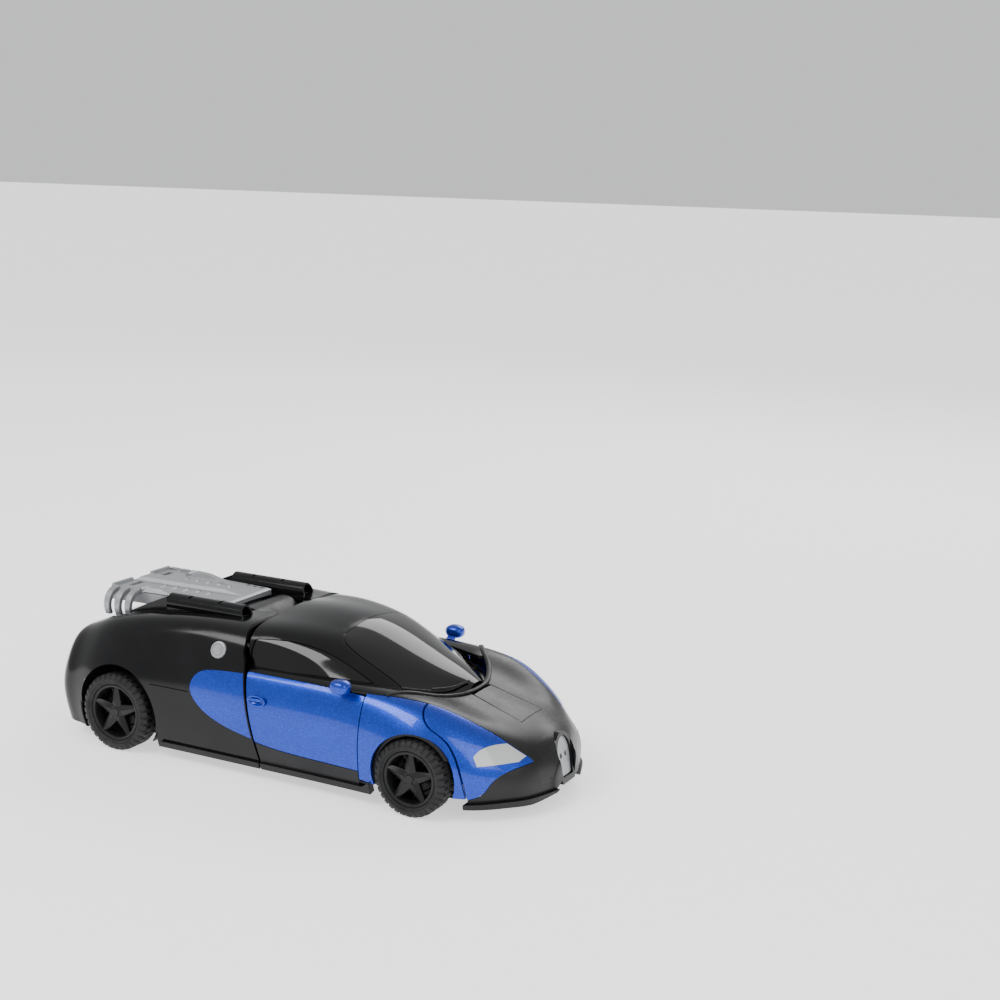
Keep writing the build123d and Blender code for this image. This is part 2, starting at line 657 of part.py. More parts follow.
# Roof, side windows and windscreen
WINDSCREEN_SIDE = [(27.0, 66.5), (64.0, 47.6), (84.5, 43.0), (84.5, 90), (25, 90), (25, 67.2)]
WINDOW_SIDE = [(-14.0, 50.6), (-15.2, 64.5), (6, 66.0), (24, 63.2), (38, 57.4), (50, 50.6)]
REAR_EDGE_X = HIP_X + CABIN_SWING
DOOR_GAP_SIDE = [(-30, 40), (-12.6, 40), (-14.2, 56), (REAR_EDGE_X, 62), (-30, 62)]
with BuildPart() as roof_shell:
    add(cabin_shell.part)
    add(block(-BIG, REAR_EDGE_X, -BIG, BIG, 0, BIG), mode=Mode.SUBTRACT)
    add(side_prism(DOOR_GAP_SIDE, -BIG, BIG), mode=Mode.SUBTRACT)
    add(side_prism(WINDSCREEN_SIDE, -BIG, BIG), mode=Mode.SUBTRACT)
    for low, high in both_sides(30, 60):
        add(side_prism(WINDOW_SIDE, low, high), mode=Mode.SUBTRACT)
    # ribs that tie the roof to the beam
    add(block(-14, -11, -38, 38, 63, 67))
    add(block(14, 17, -34, 34, 61, 66))
    add(torso_frame.part, mode=Mode.SUBTRACT)
roof_shell.part.label = "roof_shell"
export_step(roof_shell.part, "parts/roof_shell.step")

with BuildPart() as windscreen:
    add(cabin_shell.part)
    add(side_prism(WINDSCREEN_SIDE, -BIG, BIG), mode=Mode.INTERSECT)
windscreen.part.label = "windscreen"
export_step(windscreen.part, "parts/windscreen.step")

with BuildPart() as window_shape:
    add(cabin_shell.part)
    add(side_prism(WINDOW_SIDE, 30, 60), mode=Mode.INTERSECT)
with BuildPart() as side_windows:
    add(window_shape.part)
    mirror(window_shape.part, about=Plane.XZ)
side_windows.part.label = "side_windows"
export_step(side_windows.part, "parts/side_windows.step")

# ---------------------------------------------------------------- nose: the shoulders
# Plan line between the black bonnet and the blue wings, (x, y) on the left side.
WING_LINE = [(58, 47.6), (76, 43.4), (94, 38.0), (114.3, 30.0), (122.0, 26.0), (128.5, 22.5), (136, 20)]
BUMPER_LINE = [(96, 9.6), (108, 13.0), (112.5, 15.5), (115.0, 20.5), (122, 24.0), (136, 29)]
PANEL_REAR = (86.0, 8.6)
PANEL_FRONT = (112.2, 11.0)
SCREEN_LINE = [(62.0, 48), (66.5, 40.6), (74.5, 30.6), (81.5, 18), (84.6, 9), (84.9, 0)]
whole_screen_line = SCREEN_LINE + [(x, -y) for x, y in reversed(SCREEN_LINE[:-1])]

with BuildPart() as nose_shell:
    add(front_shell.part)
    add(side_prism(NOSE_SEAM + [(150, 5), (150, 60)], -BIG, BIG), mode=Mode.INTERSECT)
with BuildPart() as bonnet_shell:
    # the bonnet runs back beside the windscreen, above the wheel and inboard of the door
    add(front_shell.part)
    add(block(62, 150, -BIG, BIG, 38, 60), mode=Mode.INTERSECT)

wing_plan = plan_prism([(x, y + 0.15) for x, y in WING_LINE] + [(136, 70), (58, 70)], 0, 70)
bonnet_plan = WING_LINE + [(x, -y) for x, y in reversed(WING_LINE)]
with BuildPart() as wing_shape:
    add(nose_shell.part)
    add(wing_plan, mode=Mode.INTERSECT)
    add(side_prism([(96, 0), *BUMPER_LINE, (136, 0)], -BIG, BIG), mode=Mode.SUBTRACT)
    add(side_prism([(90, 9.6), (96, 9.6), (96, 0), (90, 0)], -BIG, BIG), mode=Mode.SUBTRACT)

LAMP_OUTLINE = [(114.6, 30.4), (122.6, 26.3), (116.5, 40.5), (107.4, 46.4), (106.6, 44.6)]
with BuildPart() as lamp_shape:
    add(front_outer.intersect(plan_prism(LAMP_OUTLINE, 26.2, 60)))
    add(front_inner, mode=Mode.SUBTRACT)
    add(wing_plan, mode=Mode.INTERSECT)
with BuildPart() as headlights:
    add(lamp_shape.part)
    mirror(lamp_shape.part, about=Plane.XZ)
headlights.part.label = "headlights"
export_step(headlights.part, "parts/headlights.step")

for side in ("left", "right"):
    with BuildPart() as front_wing:
        add(wing_shape.part if side == "left" else mirrored(wing_shape.part))
        add(headlights.part, mode=Mode.SUBTRACT)
    front_wing.part.label = f"front_wing_{side}"
    export_step(front_wing.part, f"parts/front_wing_{side}.step")

GRILLE_TOP_Z, GRILLE_LOW_Z = 31.0, 11.0
with BuildPart() as grille_opening:
    with BuildSketch(Plane.YZ.offset(105)):
        with BuildLine():
            Polyline((-6.5, GRILLE_LOW_Z), (-8.5, 22))
            ThreePointArc((-8.5, 22), (0, GRILLE_TOP_Z + 1.5), (8.5, 22))
            Polyline((8.5, 22), (6.5, GRILLE_LOW_Z), (-6.5, GRILLE_LOW_Z))
        make_face()
    extrude(amount=40)

LID_HALF_REAR = PANEL_REAR[1] + 0.4
LID_HALF_FRONT = PANEL_FRONT[1] + 0.4
LID_FRONT_X = PANEL_FRONT[0] + 0.4
LID_OPENING = [
    (80, LID_HALF_REAR), (LID_FRONT_X, LID_HALF_FRONT), (LID_FRONT_X, -LID_HALF_FRONT), (80, -LID_HALF_REAR),
]
with BuildPart() as bonnet:
    add(bonnet_shell.part)
    add(nose_shell.part.intersect(block(80, 140, -30, 30, 10.5, 60)))
    add(plan_prism(bonnet_plan, 0, 70), mode=Mode.INTERSECT)
    below_chin = [(110, 0), (114.0, 0), (121, 12), (126, 14), (136, 14), (136, 0)]
    add(side_prism(below_chin, -BIG, BIG), mode=Mode.SUBTRACT)
    add(plan_prism([(40, 60)] + whole_screen_line + [(40, -60)], 30, 70), mode=Mode.SUBTRACT)
    # opening for the head's lid
    add(plan_prism(LID_OPENING, 20, 60), mode=Mode.SUBTRACT)
    add(grille_opening.part, mode=Mode.SUBTRACT)
bonnet.part.label = "bonnet"
export_step(bonnet.part, "parts/bonnet.step")

with BuildPart() as bumper:
    add(nose_shell.part)
    add(bonnet.part, mode=Mode.SUBTRACT)
    below_line = [(90, 9.4), *[(x, z - 0.2) for x, z in BUMPER_LINE], (136, 0), (90, 0)]
    add(side_prism(below_line, -BIG, BIG), mode=Mode.INTERSECT)
    add(grille_opening.part, mode=Mode.SUBTRACT)
    # splitter lip
    with BuildSketch(Plane.XY.offset(5.6)):
        with BuildLine():
            Polyline((104, -48), (104, 48))
            ThreePointArc((104, 48), (133, 0), (104, -48))
        make_face()
        with BuildLine():
            Polyline((104, -40), (104, 40))
            ThreePointArc((104, 40), (126, 0), (104, -40))
        make_face(mode=Mode.SUBTRACT)
    extrude(amount=2.0)
bumper.part.label = "bumper"
export_step(bumper.part, "parts/bumper.step")

with BuildPart() as grille_plate:
    with BuildSketch(Plane(origin=(126.4, 0, 12.5), x_dir=(0, 1, 0), z_dir=(0.98, 0, 0.17))):
        with BuildLine():
            Polyline((-5.2, 0), (-6.4, 10))
            ThreePointArc((-6.4, 10), (0, 18.5), (6.4, 10))
            Polyline((6.4, 10), (5.2, 0), (-5.2, 0))
        make_face()
        with Locations((-2.4, 8.5), (2.4, 8.5)):
            Circle(1.1, mode=Mode.SUBTRACT)
    extrude(amount=1.6)
grille_plate.part.label = "grille_plate"
export_step(grille_plate.part, "parts/grille_plate.step")

with BuildPart() as grille_surround:
    with BuildSketch(Plane(origin=(124.6, 0, 11.6), x_dir=(0, 1, 0), z_dir=(0.98, 0, 0.17))):
        with BuildLine():
            Polyline((-6.2, 0), (-8.2, 10.5))
            ThreePointArc((-8.2, 10.5), (0, 20.6), (8.2, 10.5))
            Polyline((8.2, 10.5), (6.2, 0), (-6.2, 0))
        make_face()
    extrude(amount=4.2)
    add(grille_plate.part, mode=Mode.SUBTRACT)
    add(bonnet.part, mode=Mode.SUBTRACT)
    add(bumper.part, mode=Mode.SUBTRACT)
grille_surround.part.label = "grille_surround"
export_step(grille_surround.part, "parts/grille_surround.step")

# Frame behind the nose panels: carries the shoulder pins and the pivots of the door bars.
SHOULDER_OUTLINE = [
    (79, 28), (79, 39), (92, 40), (100, 34), (107, 28), (107, 8), (100, 8), (86, 8), (86, 26),
]
with BuildPart() as nose_frame:
    for low, high in both_sides(31.6, 34.6):
        add(side_prism(SHOULDER_OUTLINE, low, high))
    for low, high in both_sides(25.0, 32.0):
        add(cross_pin(SHOULDER_X, SHOULDER_Z, SHOULDER_PIN_RADIUS, low, high))
    for low, high in both_sides(33.0, 43.5):
        # lugs of the door bars
        add(block(85.8, 94.2, low, high, 7.6, 9.6))
        add(block(85.8, 94.2, low, high, 25.4, 27.4))
    for flip in (-1, 1):
        add(upright_pin(LINK_NOSE_X, flip * LINK_Y, LINK_PIN_RADIUS, 8, 27))
    add(block(106, 112, -34.6, -13, 8, 24))
    add(block(106, 112, 13, 34.6, 8, 24))
    add(block(109.6, 112, -14, 14, 8, 24))
    add(block(112, 122.5, -6, 6, 12, 24))
    add(front_inner, mode=Mode.INTERSECT)
    for other in (bonnet, bumper, grille_surround):
        add(other.part, mode=Mode.SUBTRACT)
nose_frame.part.label = "nose_frame"
export_step(nose_frame.part, "parts/nose_frame.step")

# ---------------------------------------------------------------- head, sliding out on the torso
with BuildPart() as head_lid:
    add(front_outer)
    add(front_inner, mode=Mode.SUBTRACT)
    add(
        plan_prism(
            [PANEL_REAR, PANEL_FRONT, (PANEL_FRONT[0], -PANEL_FRONT[1]), (PANEL_REAR[0], -PANEL_REAR[1])],
            20,
            60,
        ),
        mode=Mode.INTERSECT,
    )
head_lid.part.label = "head_lid"
export_step(head_lid.part, "parts/head_lid.step")

with BuildPart() as robot_head:
    with BuildSketch(Plane.YZ.offset(83)):
        with BuildLine():
            Polyline(
                (-6, 20.5), (-8.2, 27), (-8.2, 36), (-5, 39.6), (5, 39.6), (8.2, 36), (8.2, 27), (6, 20.5),
                close=True,
            )
        make_face()
    extrude(amount=17)
    # ear discs
    add(cross_pin(91.5, 31, 4.2, -9.8, 9.8))
    # neck rod, in line with the slide
    with BuildSketch(neck_plane):
        Circle(NECK_RADIUS)
    extrude(amount=26)
    # seat under the lid
    add(block(86.5, 98, -5, 5, 39, 48))
    add(front_inner, mode=Mode.INTERSECT)
robot_head.part.label = "robot_head"
export_step(robot_head.part, "parts/robot_head.step")

with BuildPart() as robot_face:
    with BuildSketch(Plane.XY.offset(18.6)):
        with Locations((91, 0)):
            Rectangle(13, 10)
    extrude(amount=2.6)
    add(robot_head.part, mode=Mode.SUBTRACT)
robot_face.part.label = "robot_face"
export_step(robot_face.part, "parts/robot_face.step")

# ---------------------------------------------------------------- arms: doors, wings and front wheels
with BuildPart() as link_shape:
    for z_low, z_high in ((9.9, 13.6), (21.4, 25.1)):
        add(block(LINK_ARM_X, LINK_NOSE_X, LINK_Y - 3.0, LINK_Y + 3.0, z_low, z_high))
        for x in (LINK_ARM_X, LINK_NOSE_X):
            add(upright_pin(x, LINK_Y, 3.8, z_low, z_high))
    for x in (LINK_ARM_X + 9, LINK_NOSE_X - 9):
        add(block(x - 1.5, x + 1.5, LINK_Y - 3.0, LINK_Y + 3.0, 13.6, 21.4))
    for x in (LINK_ARM_X, LINK_NOSE_X):
        add(upright_pin(x, LINK_Y, LINK_PIN_RADIUS + RUN, 5, 30), mode=Mode.SUBTRACT)

door_outline = [
    (seam_x(5) + GAP, 5), (seam_x(BELT_Z) + GAP, BELT_Z),
    (DOOR_FRONT_X - GAP / 2, BELT_Z + 2), (DOOR_FRONT_X - GAP / 2, 5),
]
fender_outline = [
    (DOOR_FRONT_X + GAP / 2, 5), (DOOR_FRONT_X + GAP / 2, 60), (NOSE_SEAM[0][0] - 1.0, 60),
    *[(x - 1.0, z) for x, z in NOSE_SEAM[1:]],
]
fender_plan = [(x, y + 0.5) for x, y in WING_LINE] + [(136, 80), (40, 80), (40, 50.3)]
skirt_outline = [(seam_x(5) + GAP, 5), (seam_x(24) + GAP, 26), (57, 26), (57, 5)]
SKIRT_LINE = [(-20, 24), (-8, 19.5), (10, 17.2), (52, 16.2), (56, 16.0)]
with BuildPart() as door_shape:
    add(front_shell.part)
    add(side_prism(door_outline, 46, 70), mode=Mode.INTERSECT)
    add(side_prism(SKIRT_LINE + [(56, 60), (-20, 60)], -BIG, BIG), mode=Mode.INTERSECT)
    add(block(-40, 70, 0, 50.3, 40, 60), mode=Mode.SUBTRACT)

with BuildPart() as fender_shape:
    add(front_shell.part)
    add(side_prism(fender_outline, 40, 70), mode=Mode.INTERSECT)
    add(plan_prism(fender_plan, 0, 70), mode=Mode.INTERSECT)
    add(block(40, 63, 0, 50.3, 38, 60), mode=Mode.SUBTRACT)
    add(cross_pin(FRONT_AXLE_X, FRONT_RADIUS, FRONT_ARCH_RADIUS, 0, BIG), mode=Mode.SUBTRACT)
    add(block(FRONT_AXLE_X - 20, FRONT_AXLE_X + 40, 0, 80, 0, 11), mode=Mode.SUBTRACT)

with BuildPart() as skirt_shape:
    add(front_shell.part)
    add(side_prism(skirt_outline, 46, 70), mode=Mode.INTERSECT)
    below_door = [(x, z - 0.2) for x, z in SKIRT_LINE] + [(56, 0), (-20, 0)]
    add(side_prism(below_door, -BIG, BIG), mode=Mode.INTERSECT)
    add(block(-1.5, 57, 47, 57.4, 5.8, 8.4))
    add(fender_shape.part, mode=Mode.SUBTRACT)
    add(door_shape.part, mode=Mode.SUBTRACT)

with BuildPart() as mirror_shape:
    add(side_prism([(36, 52.8), (46, 51.5), (46.5, 56), (41, 58.2), (37, 57.5)], 52.6, 59.6))
    add(side_prism([(39, 50.0), (43, 50.0), (43, 54), (39, 54)], 50.4, 54.6))
    add(door_shape.part, mode=Mode.SUBTRACT)

with BuildPart() as well_shape:
    # inner door frame
    add(side_prism([(-8, 12), (-9.5, 30), (40, 42), (60, 42), (60, 12)], 46.6, 48.6))
    add(block(-4, 40, 48.6, 53, 22, 26))
    add(block(30, 54, 48.6, 53, 32, 35))
    # wheel housing round the tyre
    add(cross_pin(FRONT_AXLE_X, FRONT_RADIUS, 20.8, 43.9, 54.0).intersect(block(56, 98, 40, 60, 11, 60)))
    add(cross_pin(FRONT_AXLE_X, FRONT_RADIUS, 19.2, 45.1, 60), mode=Mode.SUBTRACT)
    add(block(85.5, 110, 40, 60, 0, 29), mode=Mode.SUBTRACT)
    add(side_prism([(x - 1.2, z) for x, z in NOSE_SEAM] + [(130, 0), (130, 60)], 40, 70), mode=Mode.SUBTRACT)
    # stub axle
    add(cross_pin(FRONT_AXLE_X, FRONT_RADIUS, AXLE_RADIUS, 44.5, 56.9))
    # clevis on the ends of the bars
    add(block(LINK_ARM_X - 4, LINK_ARM_X + 4, 36.5, 47, 6.6, 9.6))
    add(block(LINK_ARM_X - 4, LINK_ARM_X + 4, 36.5, 47, 25.4, 28.4))
    add(block(LINK_ARM_X - 6, LINK_ARM_X + 6, 45, 48.6, 6.6, 28.4))
    add(upright_pin(LINK_ARM_X, LINK_Y, LINK_PIN_RADIUS, 7, 28))
    # folded hand behind the wheel
    for finger in range(4):
        add(block(20, 34, 42.6, 46.6, 12 + 4.2 * finger, 15.4 + 4.2 * finger))
    add(block(12, 22, 42.0, 46.6, 12, 28))
    for other in (door_shape, fender_shape, skirt_shape):
        add(other.part, mode=Mode.SUBTRACT)

ARM_PIECES = (
    ("arm_link", link_shape), ("door", door_shape), ("front_fender", fender_shape),
    ("side_skirt", skirt_shape), ("mirror", mirror_shape), ("arm_frame", well_shape),
)
for name, shape in ARM_PIECES:
    for side in ("left", "right"):
        with BuildPart() as arm_piece:
            add(shape.part if side == "left" else mirrored(shape.part))
        arm_piece.part.label = f"{name}_{side}"
        export_step(arm_piece.part, f"parts/{name}_{side}.step")
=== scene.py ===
"""Looks of the toy car that folds up into a robot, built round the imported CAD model, in metres."""
import json
import math

import bmesh
import bpy
import numpy as np
from mathutils import Matrix, Vector


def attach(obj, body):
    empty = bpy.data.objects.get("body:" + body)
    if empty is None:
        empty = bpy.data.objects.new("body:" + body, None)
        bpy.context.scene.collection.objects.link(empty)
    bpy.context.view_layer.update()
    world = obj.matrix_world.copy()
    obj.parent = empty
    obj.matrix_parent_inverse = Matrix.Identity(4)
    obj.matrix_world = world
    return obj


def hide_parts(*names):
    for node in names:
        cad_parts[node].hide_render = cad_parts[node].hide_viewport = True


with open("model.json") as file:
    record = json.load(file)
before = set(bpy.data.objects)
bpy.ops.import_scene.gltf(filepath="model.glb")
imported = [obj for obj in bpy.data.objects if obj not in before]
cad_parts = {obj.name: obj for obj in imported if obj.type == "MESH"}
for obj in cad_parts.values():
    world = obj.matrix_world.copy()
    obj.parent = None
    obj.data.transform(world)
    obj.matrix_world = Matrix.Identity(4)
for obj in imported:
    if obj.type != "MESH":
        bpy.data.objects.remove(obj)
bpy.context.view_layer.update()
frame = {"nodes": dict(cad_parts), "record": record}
NODES = frame["nodes"]
MM = 0.001
SIDES = (("left", 1), ("right", -1))


# ---------------------------------------------------------------- camera, light and floor
CAMERA_AZIMUTH = 32.4
CAMERA_ELEVATION = 18.0
CAMERA_DISTANCE = 805 * MM
CAMERA_TARGET = Vector((0, 0, 30 * MM))
CAMERA_LENS = 57.2
AIM_RIGHT = 0.107
AIM_UP = 0.121
FLOOR_HALF = 40


def make_camera():
    """Camera ahead and to the right of the car, which sits low and left in the frame."""
    azimuth = math.radians(CAMERA_AZIMUTH)
    elevation = math.radians(CAMERA_ELEVATION)
    back = Vector(
        (
            math.sin(azimuth) * math.cos(elevation), -math.cos(azimuth) * math.cos(elevation),
            math.sin(elevation)
        )
    )
    right = Vector((math.cos(azimuth), math.sin(azimuth), 0))
    up = back.cross(right)
    ahead = (-back + right * AIM_RIGHT + up * AIM_UP).normalized()
    across = ahead.cross(up).normalized()
    turn = Matrix((across, across.cross(ahead), -ahead)).transposed()
    data = bpy.data.cameras.new("camera")
    data.lens = CAMERA_LENS
    data.sensor_width = 36
    data.clip_start = 0.01
    camera = bpy.data.objects.new("camera", data)
    bpy.context.scene.collection.objects.link(camera)
    camera.matrix_world = Matrix.Translation(CAMERA_TARGET + back * CAMERA_DISTANCE) @ turn.to_4x4()
    bpy.context.scene.camera = camera


def area_light(name, place, target, size, watts, colour=(1, 1, 1)):
    """Soft rectangular light aimed at a place."""
    data = bpy.data.lights.new(name, "AREA")
    data.shape = "RECTANGLE"
    data.size, data.size_y = size
    data.energy = watts
    data.color = colour
    light = bpy.data.objects.new(name, data)
    bpy.context.scene.collection.objects.link(light)
    light.location = place
    light.rotation_euler = (Vector(target) - Vector(place)).to_track_quat("-Z", "Y").to_euler()


def make_studio():
    """Pale floor that glows a little, pale surroundings and large soft lights."""
    floor_mesh = bpy.data.meshes.new("floor")
    floor_mesh.from_pydata(
        [(FLOOR_HALF * x, FLOOR_HALF * y, 0) for x, y in ((-1, -1), (1, -1), (1, 1), (-1, 1))], [],
        [(0, 1, 2, 3)]
    )
    floor = bpy.data.objects.new("floor", floor_mesh)
    bpy.context.scene.collection.objects.link(floor)
    paint = bpy.data.materials.new("studio_floor")
    paint.use_nodes = True
    shader = paint.node_tree.nodes["Principled BSDF"]
    shader.inputs["Base Color"].default_value = (0.93, 0.93, 0.93, 1)
    shader.inputs["Roughness"].default_value = 0.7
    shader.inputs["Emission Color"].default_value = (1, 1, 1, 1)
    shader.inputs["Emission Strength"].default_value = 0.9
    floor_mesh.materials.append(paint)
    world = bpy.data.worlds.new("studio")
    world.use_nodes = True
    world.node_tree.nodes["Background"].inputs["Color"].default_value = (0.95, 0.96, 0.97, 1)
    world.node_tree.nodes["Background"].inputs["Strength"].default_value = 0.8
    bpy.context.scene.world = world
    area_light("key", (-0.5, -1.0, 1.3), (0, 0, 0.04), (0.9, 0.6), 16)
    area_light("fill", (1.1, -0.6, 0.7), (0, 0, 0.04), (0.7, 0.7), 5)
    area_light("rim", (0.1, 1.2, 0.9), (0, 0, 0.05), (1.2, 0.5), 8)


# ---------------------------------------------------------------- materials
class Nodes:
    """Short names for the node tree of one material."""

    def __init__(self, name):
        self.material = bpy.data.materials.new(name)
        self.material.use_nodes = True
        self.tree = self.material.node_tree
        self.shader = self.tree.nodes["Principled BSDF"]
        self.coordinates = self.add("ShaderNodeTexCoord").outputs["Object"]

    def add(self, kind, **values):
        node = self.tree.nodes.new(kind)
        for key, value in values.items():
            setattr(node, key, value)
        return node

    def link(self, source, target):
        self.tree.links.new(source, target)

    def noise(self, scale, detail=3.0, roughness=0.5):
        node = self.add("ShaderNodeTexNoise")
        node.inputs["Scale"].default_value = scale
        node.inputs["Detail"].default_value = detail
        node.inputs["Roughness"].default_value = roughness
        self.link(self.coordinates, node.inputs["Vector"])
        return node.outputs["Fac"]

    def cells(self, scale, feature="F1"):
        node = self.add("ShaderNodeTexVoronoi", feature=feature)
        node.inputs["Scale"].default_value = scale
        self.link(self.coordinates, node.inputs["Vector"])
        return node

    def ramp(self, value, stops):
        node = self.add("ShaderNodeValToRGB")
        ramp = node.color_ramp
        while len(ramp.elements) < len(stops):
            ramp.elements.new(0.5)
        for element, (place, colour) in zip(ramp.elements, stops):
            element.position = place
            element.color = (*colour, 1) if len(colour) == 3 else colour
        self.link(value, node.inputs["Fac"])
        return node.outputs["Color"]

    def spread(self, value, low, high, from_low=0.3, from_high=0.7):
        node = self.add("ShaderNodeMapRange")
        node.inputs["From Min"].default_value = from_low
        node.inputs["From Max"].default_value = from_high
        node.inputs["To Min"].default_value = low
        node.inputs["To Max"].default_value = high
        self.link(value, node.inputs["Value"])
        return node.outputs["Result"]

    def bump(self, height, strength, distance):
        node = self.add("ShaderNodeBump")
        node.inputs["Strength"].default_value = strength
        node.inputs["Distance"].default_value = distance
        self.link(height, node.inputs["Height"])
        self.link(node.outputs["Normal"], self.shader.inputs["Normal"])
        return node

    def set(self, **values):
        for key, value in values.items():
            self.shader.inputs[key.replace("_", " ")].default_value = value


def plastic(name, dark, light, rough_low, rough_high, grain_scale, grain_strength, coat=0.0, specular=0.5):
    """Moulded plastic: faint mottling, uneven gloss, fine moulded grain and light rubbed spots."""
    m = Nodes(name)
    m.link(m.ramp(m.noise(55), [(0.3, dark), (0.75, light)]), m.shader.inputs["Base Color"])
    m.link(m.spread(m.noise(140, 5), rough_low, rough_high), m.shader.inputs["Roughness"])
    m.bump(m.noise(grain_scale, 4, 0.6), grain_strength, 0.00012)
    m.set(Coat_Weight=coat, Coat_Roughness=0.04, Specular_IOR_Level=specular)
    return m.material


def metallic_paint(name, deep, bright, flake, metallic, rough_low, rough_high, coat, flake_scale=2600):
    """Sprayed paint with small bright flakes under a clear coat and a little orange peel."""
    m = Nodes(name)
    base = m.ramp(m.noise(30), [(0.25, deep), (0.8, bright)])
    cells = m.cells(flake_scale)
    sparkle = m.ramp(cells.outputs["Color"], [(0.55, (0, 0, 0)), (0.95, (1, 1, 1))])
    mix = m.add("ShaderNodeMix", data_type="RGBA")
    mix.inputs["B"].default_value = (*flake, 1)
    m.link(base, mix.inputs["A"])
    m.link(sparkle, mix.inputs["Factor"])
    m.link(mix.outputs["Result"], m.shader.inputs["Base Color"])
    m.link(m.spread(m.noise(900, 4), rough_low, rough_high), m.shader.inputs["Roughness"])
    peel = m.add("ShaderNodeMath", operation="ADD")
    m.link(m.noise(420, 2), peel.inputs[0])
    m.link(cells.outputs["Distance"], peel.inputs[1])
    m.bump(peel.outputs[0], 0.12, 0.00008)
    m.set(Metallic=metallic, Coat_Weight=coat, Coat_Roughness=0.05)
    return m.material


def rubber(name):
    """Matt tyre rubber with a fine grain."""
    m = Nodes(name)
    m.link(
        m.ramp(m.noise(90), [(0.3, (0.006, 0.006, 0.0065)), (0.8, (0.014, 0.014, 0.0145))]),
        m.shader.inputs["Base Color"]
    )
    m.link(m.spread(m.noise(300, 5), 0.55, 0.8), m.shader.inputs["Roughness"])
    m.bump(m.noise(2500, 4, 0.6), 0.35, 0.0001)
    m.set(Specular_IOR_Level=0.35)
    return m.material


def steel(name):
    """Brushed dark steel for pins, screws and the axle."""
    m = Nodes(name)
    m.link(
        m.ramp(m.noise(200), [(0.3, (0.20, 0.20, 0.21)), (0.8, (0.27, 0.27, 0.28))]),
        m.shader.inputs["Base Color"]
    )
    m.link(m.spread(m.noise(800, 4), 0.22, 0.4), m.shader.inputs["Roughness"])
    m.bump(m.noise(3000, 3), 0.15, 0.00005)
    m.set(Metallic=1.0)
    return m.material


MATERIALS = {
    "black_gloss": plastic(
        "black_gloss", (0.003, 0.003, 0.0035), (0.006, 0.006, 0.0065), 0.10, 0.16, 700, 0.04, specular=0.24
    ),
    "black_satin": plastic(
        "black_satin", (0.005, 0.005, 0.0055), (0.010, 0.010, 0.0105), 0.30, 0.42, 2600, 0.2, specular=0.26
    ),
    "dark_hood": plastic(
        "dark_hood", (0.006, 0.006, 0.006), (0.012, 0.012, 0.012), 0.24, 0.32, 2200, 0.10, specular=0.26
    ),
    "metallic_blue": metallic_paint(
        "metallic_blue", (
            0.0008, 0.019, 0.27
        ), (0.001, 0.027, 0.35), (0.006, 0.085, 0.72), 0.74, 0.28, 0.38, 0.5, 5200
    ),
    "silver_paint": metallic_paint(
        "silver_paint", (
            0.26, 0.27, 0.28
        ), (0.31, 0.32, 0.33), (0.42, 0.43, 0.45), 0.5, 0.36, 0.46, 0.2, 7000
    ),
    "pearl_lamp": plastic(
        "pearl_lamp", (0.34, 0.35, 0.35), (0.44, 0.45, 0.45), 0.12, 0.2, 500, 0.05, coat=0.6
    ),
    "tyre_rubber": rubber("tyre_rubber"),
    "steel": steel("steel"),
    "white_plastic": plastic("white_plastic", (0.62, 0.62, 0.6), (0.74, 0.74, 0.72), 0.32, 0.45, 2200, 0.15),
    "red_lens": plastic("red_lens", (0.22, 0.008, 0.008), (0.38, 0.016, 0.016), 0.12, 0.2, 900, 0.05, 0.5),
    "board_green": plastic("board_green", (0.02, 0.13, 0.05), (0.04, 0.2, 0.08), 0.3, 0.45, 1500, 0.1),
}


def dress_cad_nodes():
    """Gives every CAD node its slot's material."""
    for part in frame["record"]["subparts"]:
        node = NODES[part["node"]]
        node.data.materials.clear()
        node.data.materials.append(MATERIALS[part["material_slot"]])


# ---------------------------------------------------------------- body surfaces, in millimetres
# Sections along the car: distance, sill half width and height, widest half width and height,
# shoulder half width and height, and crown height.
FRONT_SECTIONS = (
    (-26, 53.0, 6.0, 56.0, 34.0, 50.8, 50.6, 51.5),
    (-4, 53.0, 6.0, 56.0, 34.0, 50.8, 50.6, 51.5),
    (18, 53.0, 6.0, 56.0, 34.0, 50.8, 50.6, 51.3),
    (38, 53.2, 6.0, 56.0, 34.0, 50.5, 50.5, 50.8),
    (56, 53.6, 6.0, 56.5, 33.5, 49.8, 50.2, 50.0),
    (72, 54.0, 6.0, 57.4, 33.0, 48.3, 49.4, 48.4),
    (87, 53.0, 6.0, 56.2, 30.0, 45.5, 46.6, 45.6),
    (100, 49.4, 6.0, 51.8, 25.0, 40.8, 41.0, 41.8),
    (111, 43.0, 6.0, 45.5, 21.0, 34.0, 35.4, 38.6),
    (120, 34.0, 6.0, 36.5, 18.5, 26.0, 30.4, 35.0),
    (127, 24.0, 6.5, 26.0, 17.0, 18.0, 26.0, 30.5),
    (131, 13.0, 8.0, 14.0, 15.0, 9.5, 21.5, 25.0),
)
REAR_SECTIONS = (
    (-131.4, 35.0, 16.0, 40.0, 27.0, 32.0, 40.0, 43.0),
    (-128, 43.0, 11.0, 47.5, 28.0, 38.0, 46.0, 49.5),
    (-118, 49.5, 7.0, 54.0, 30.0, 42.0, 54.0, 57.0),
    (-104, 52.5, 6.0, 57.6, 33.0, 44.0, 60.0, 62.0),
    (-88, 53.0, 6.0, 59.0, 35.0, 45.0, 64.0, 65.5),
    (-68, 53.0, 6.0, 58.0, 35.0, 44.5, 66.8, 68.0),
    (-45, 53.0, 6.0, 56.4, 35.0, 43.5, 68.0, 70.0),
    (-20, 53.0, 6.0, 56.0, 35.0, 42.5, 67.5, 72.5),
    (0, 53.0, 6.0, 56.0, 35.0, 42.0, 67.0, 73.5),
)
CABIN_BASE_Z = 44.5
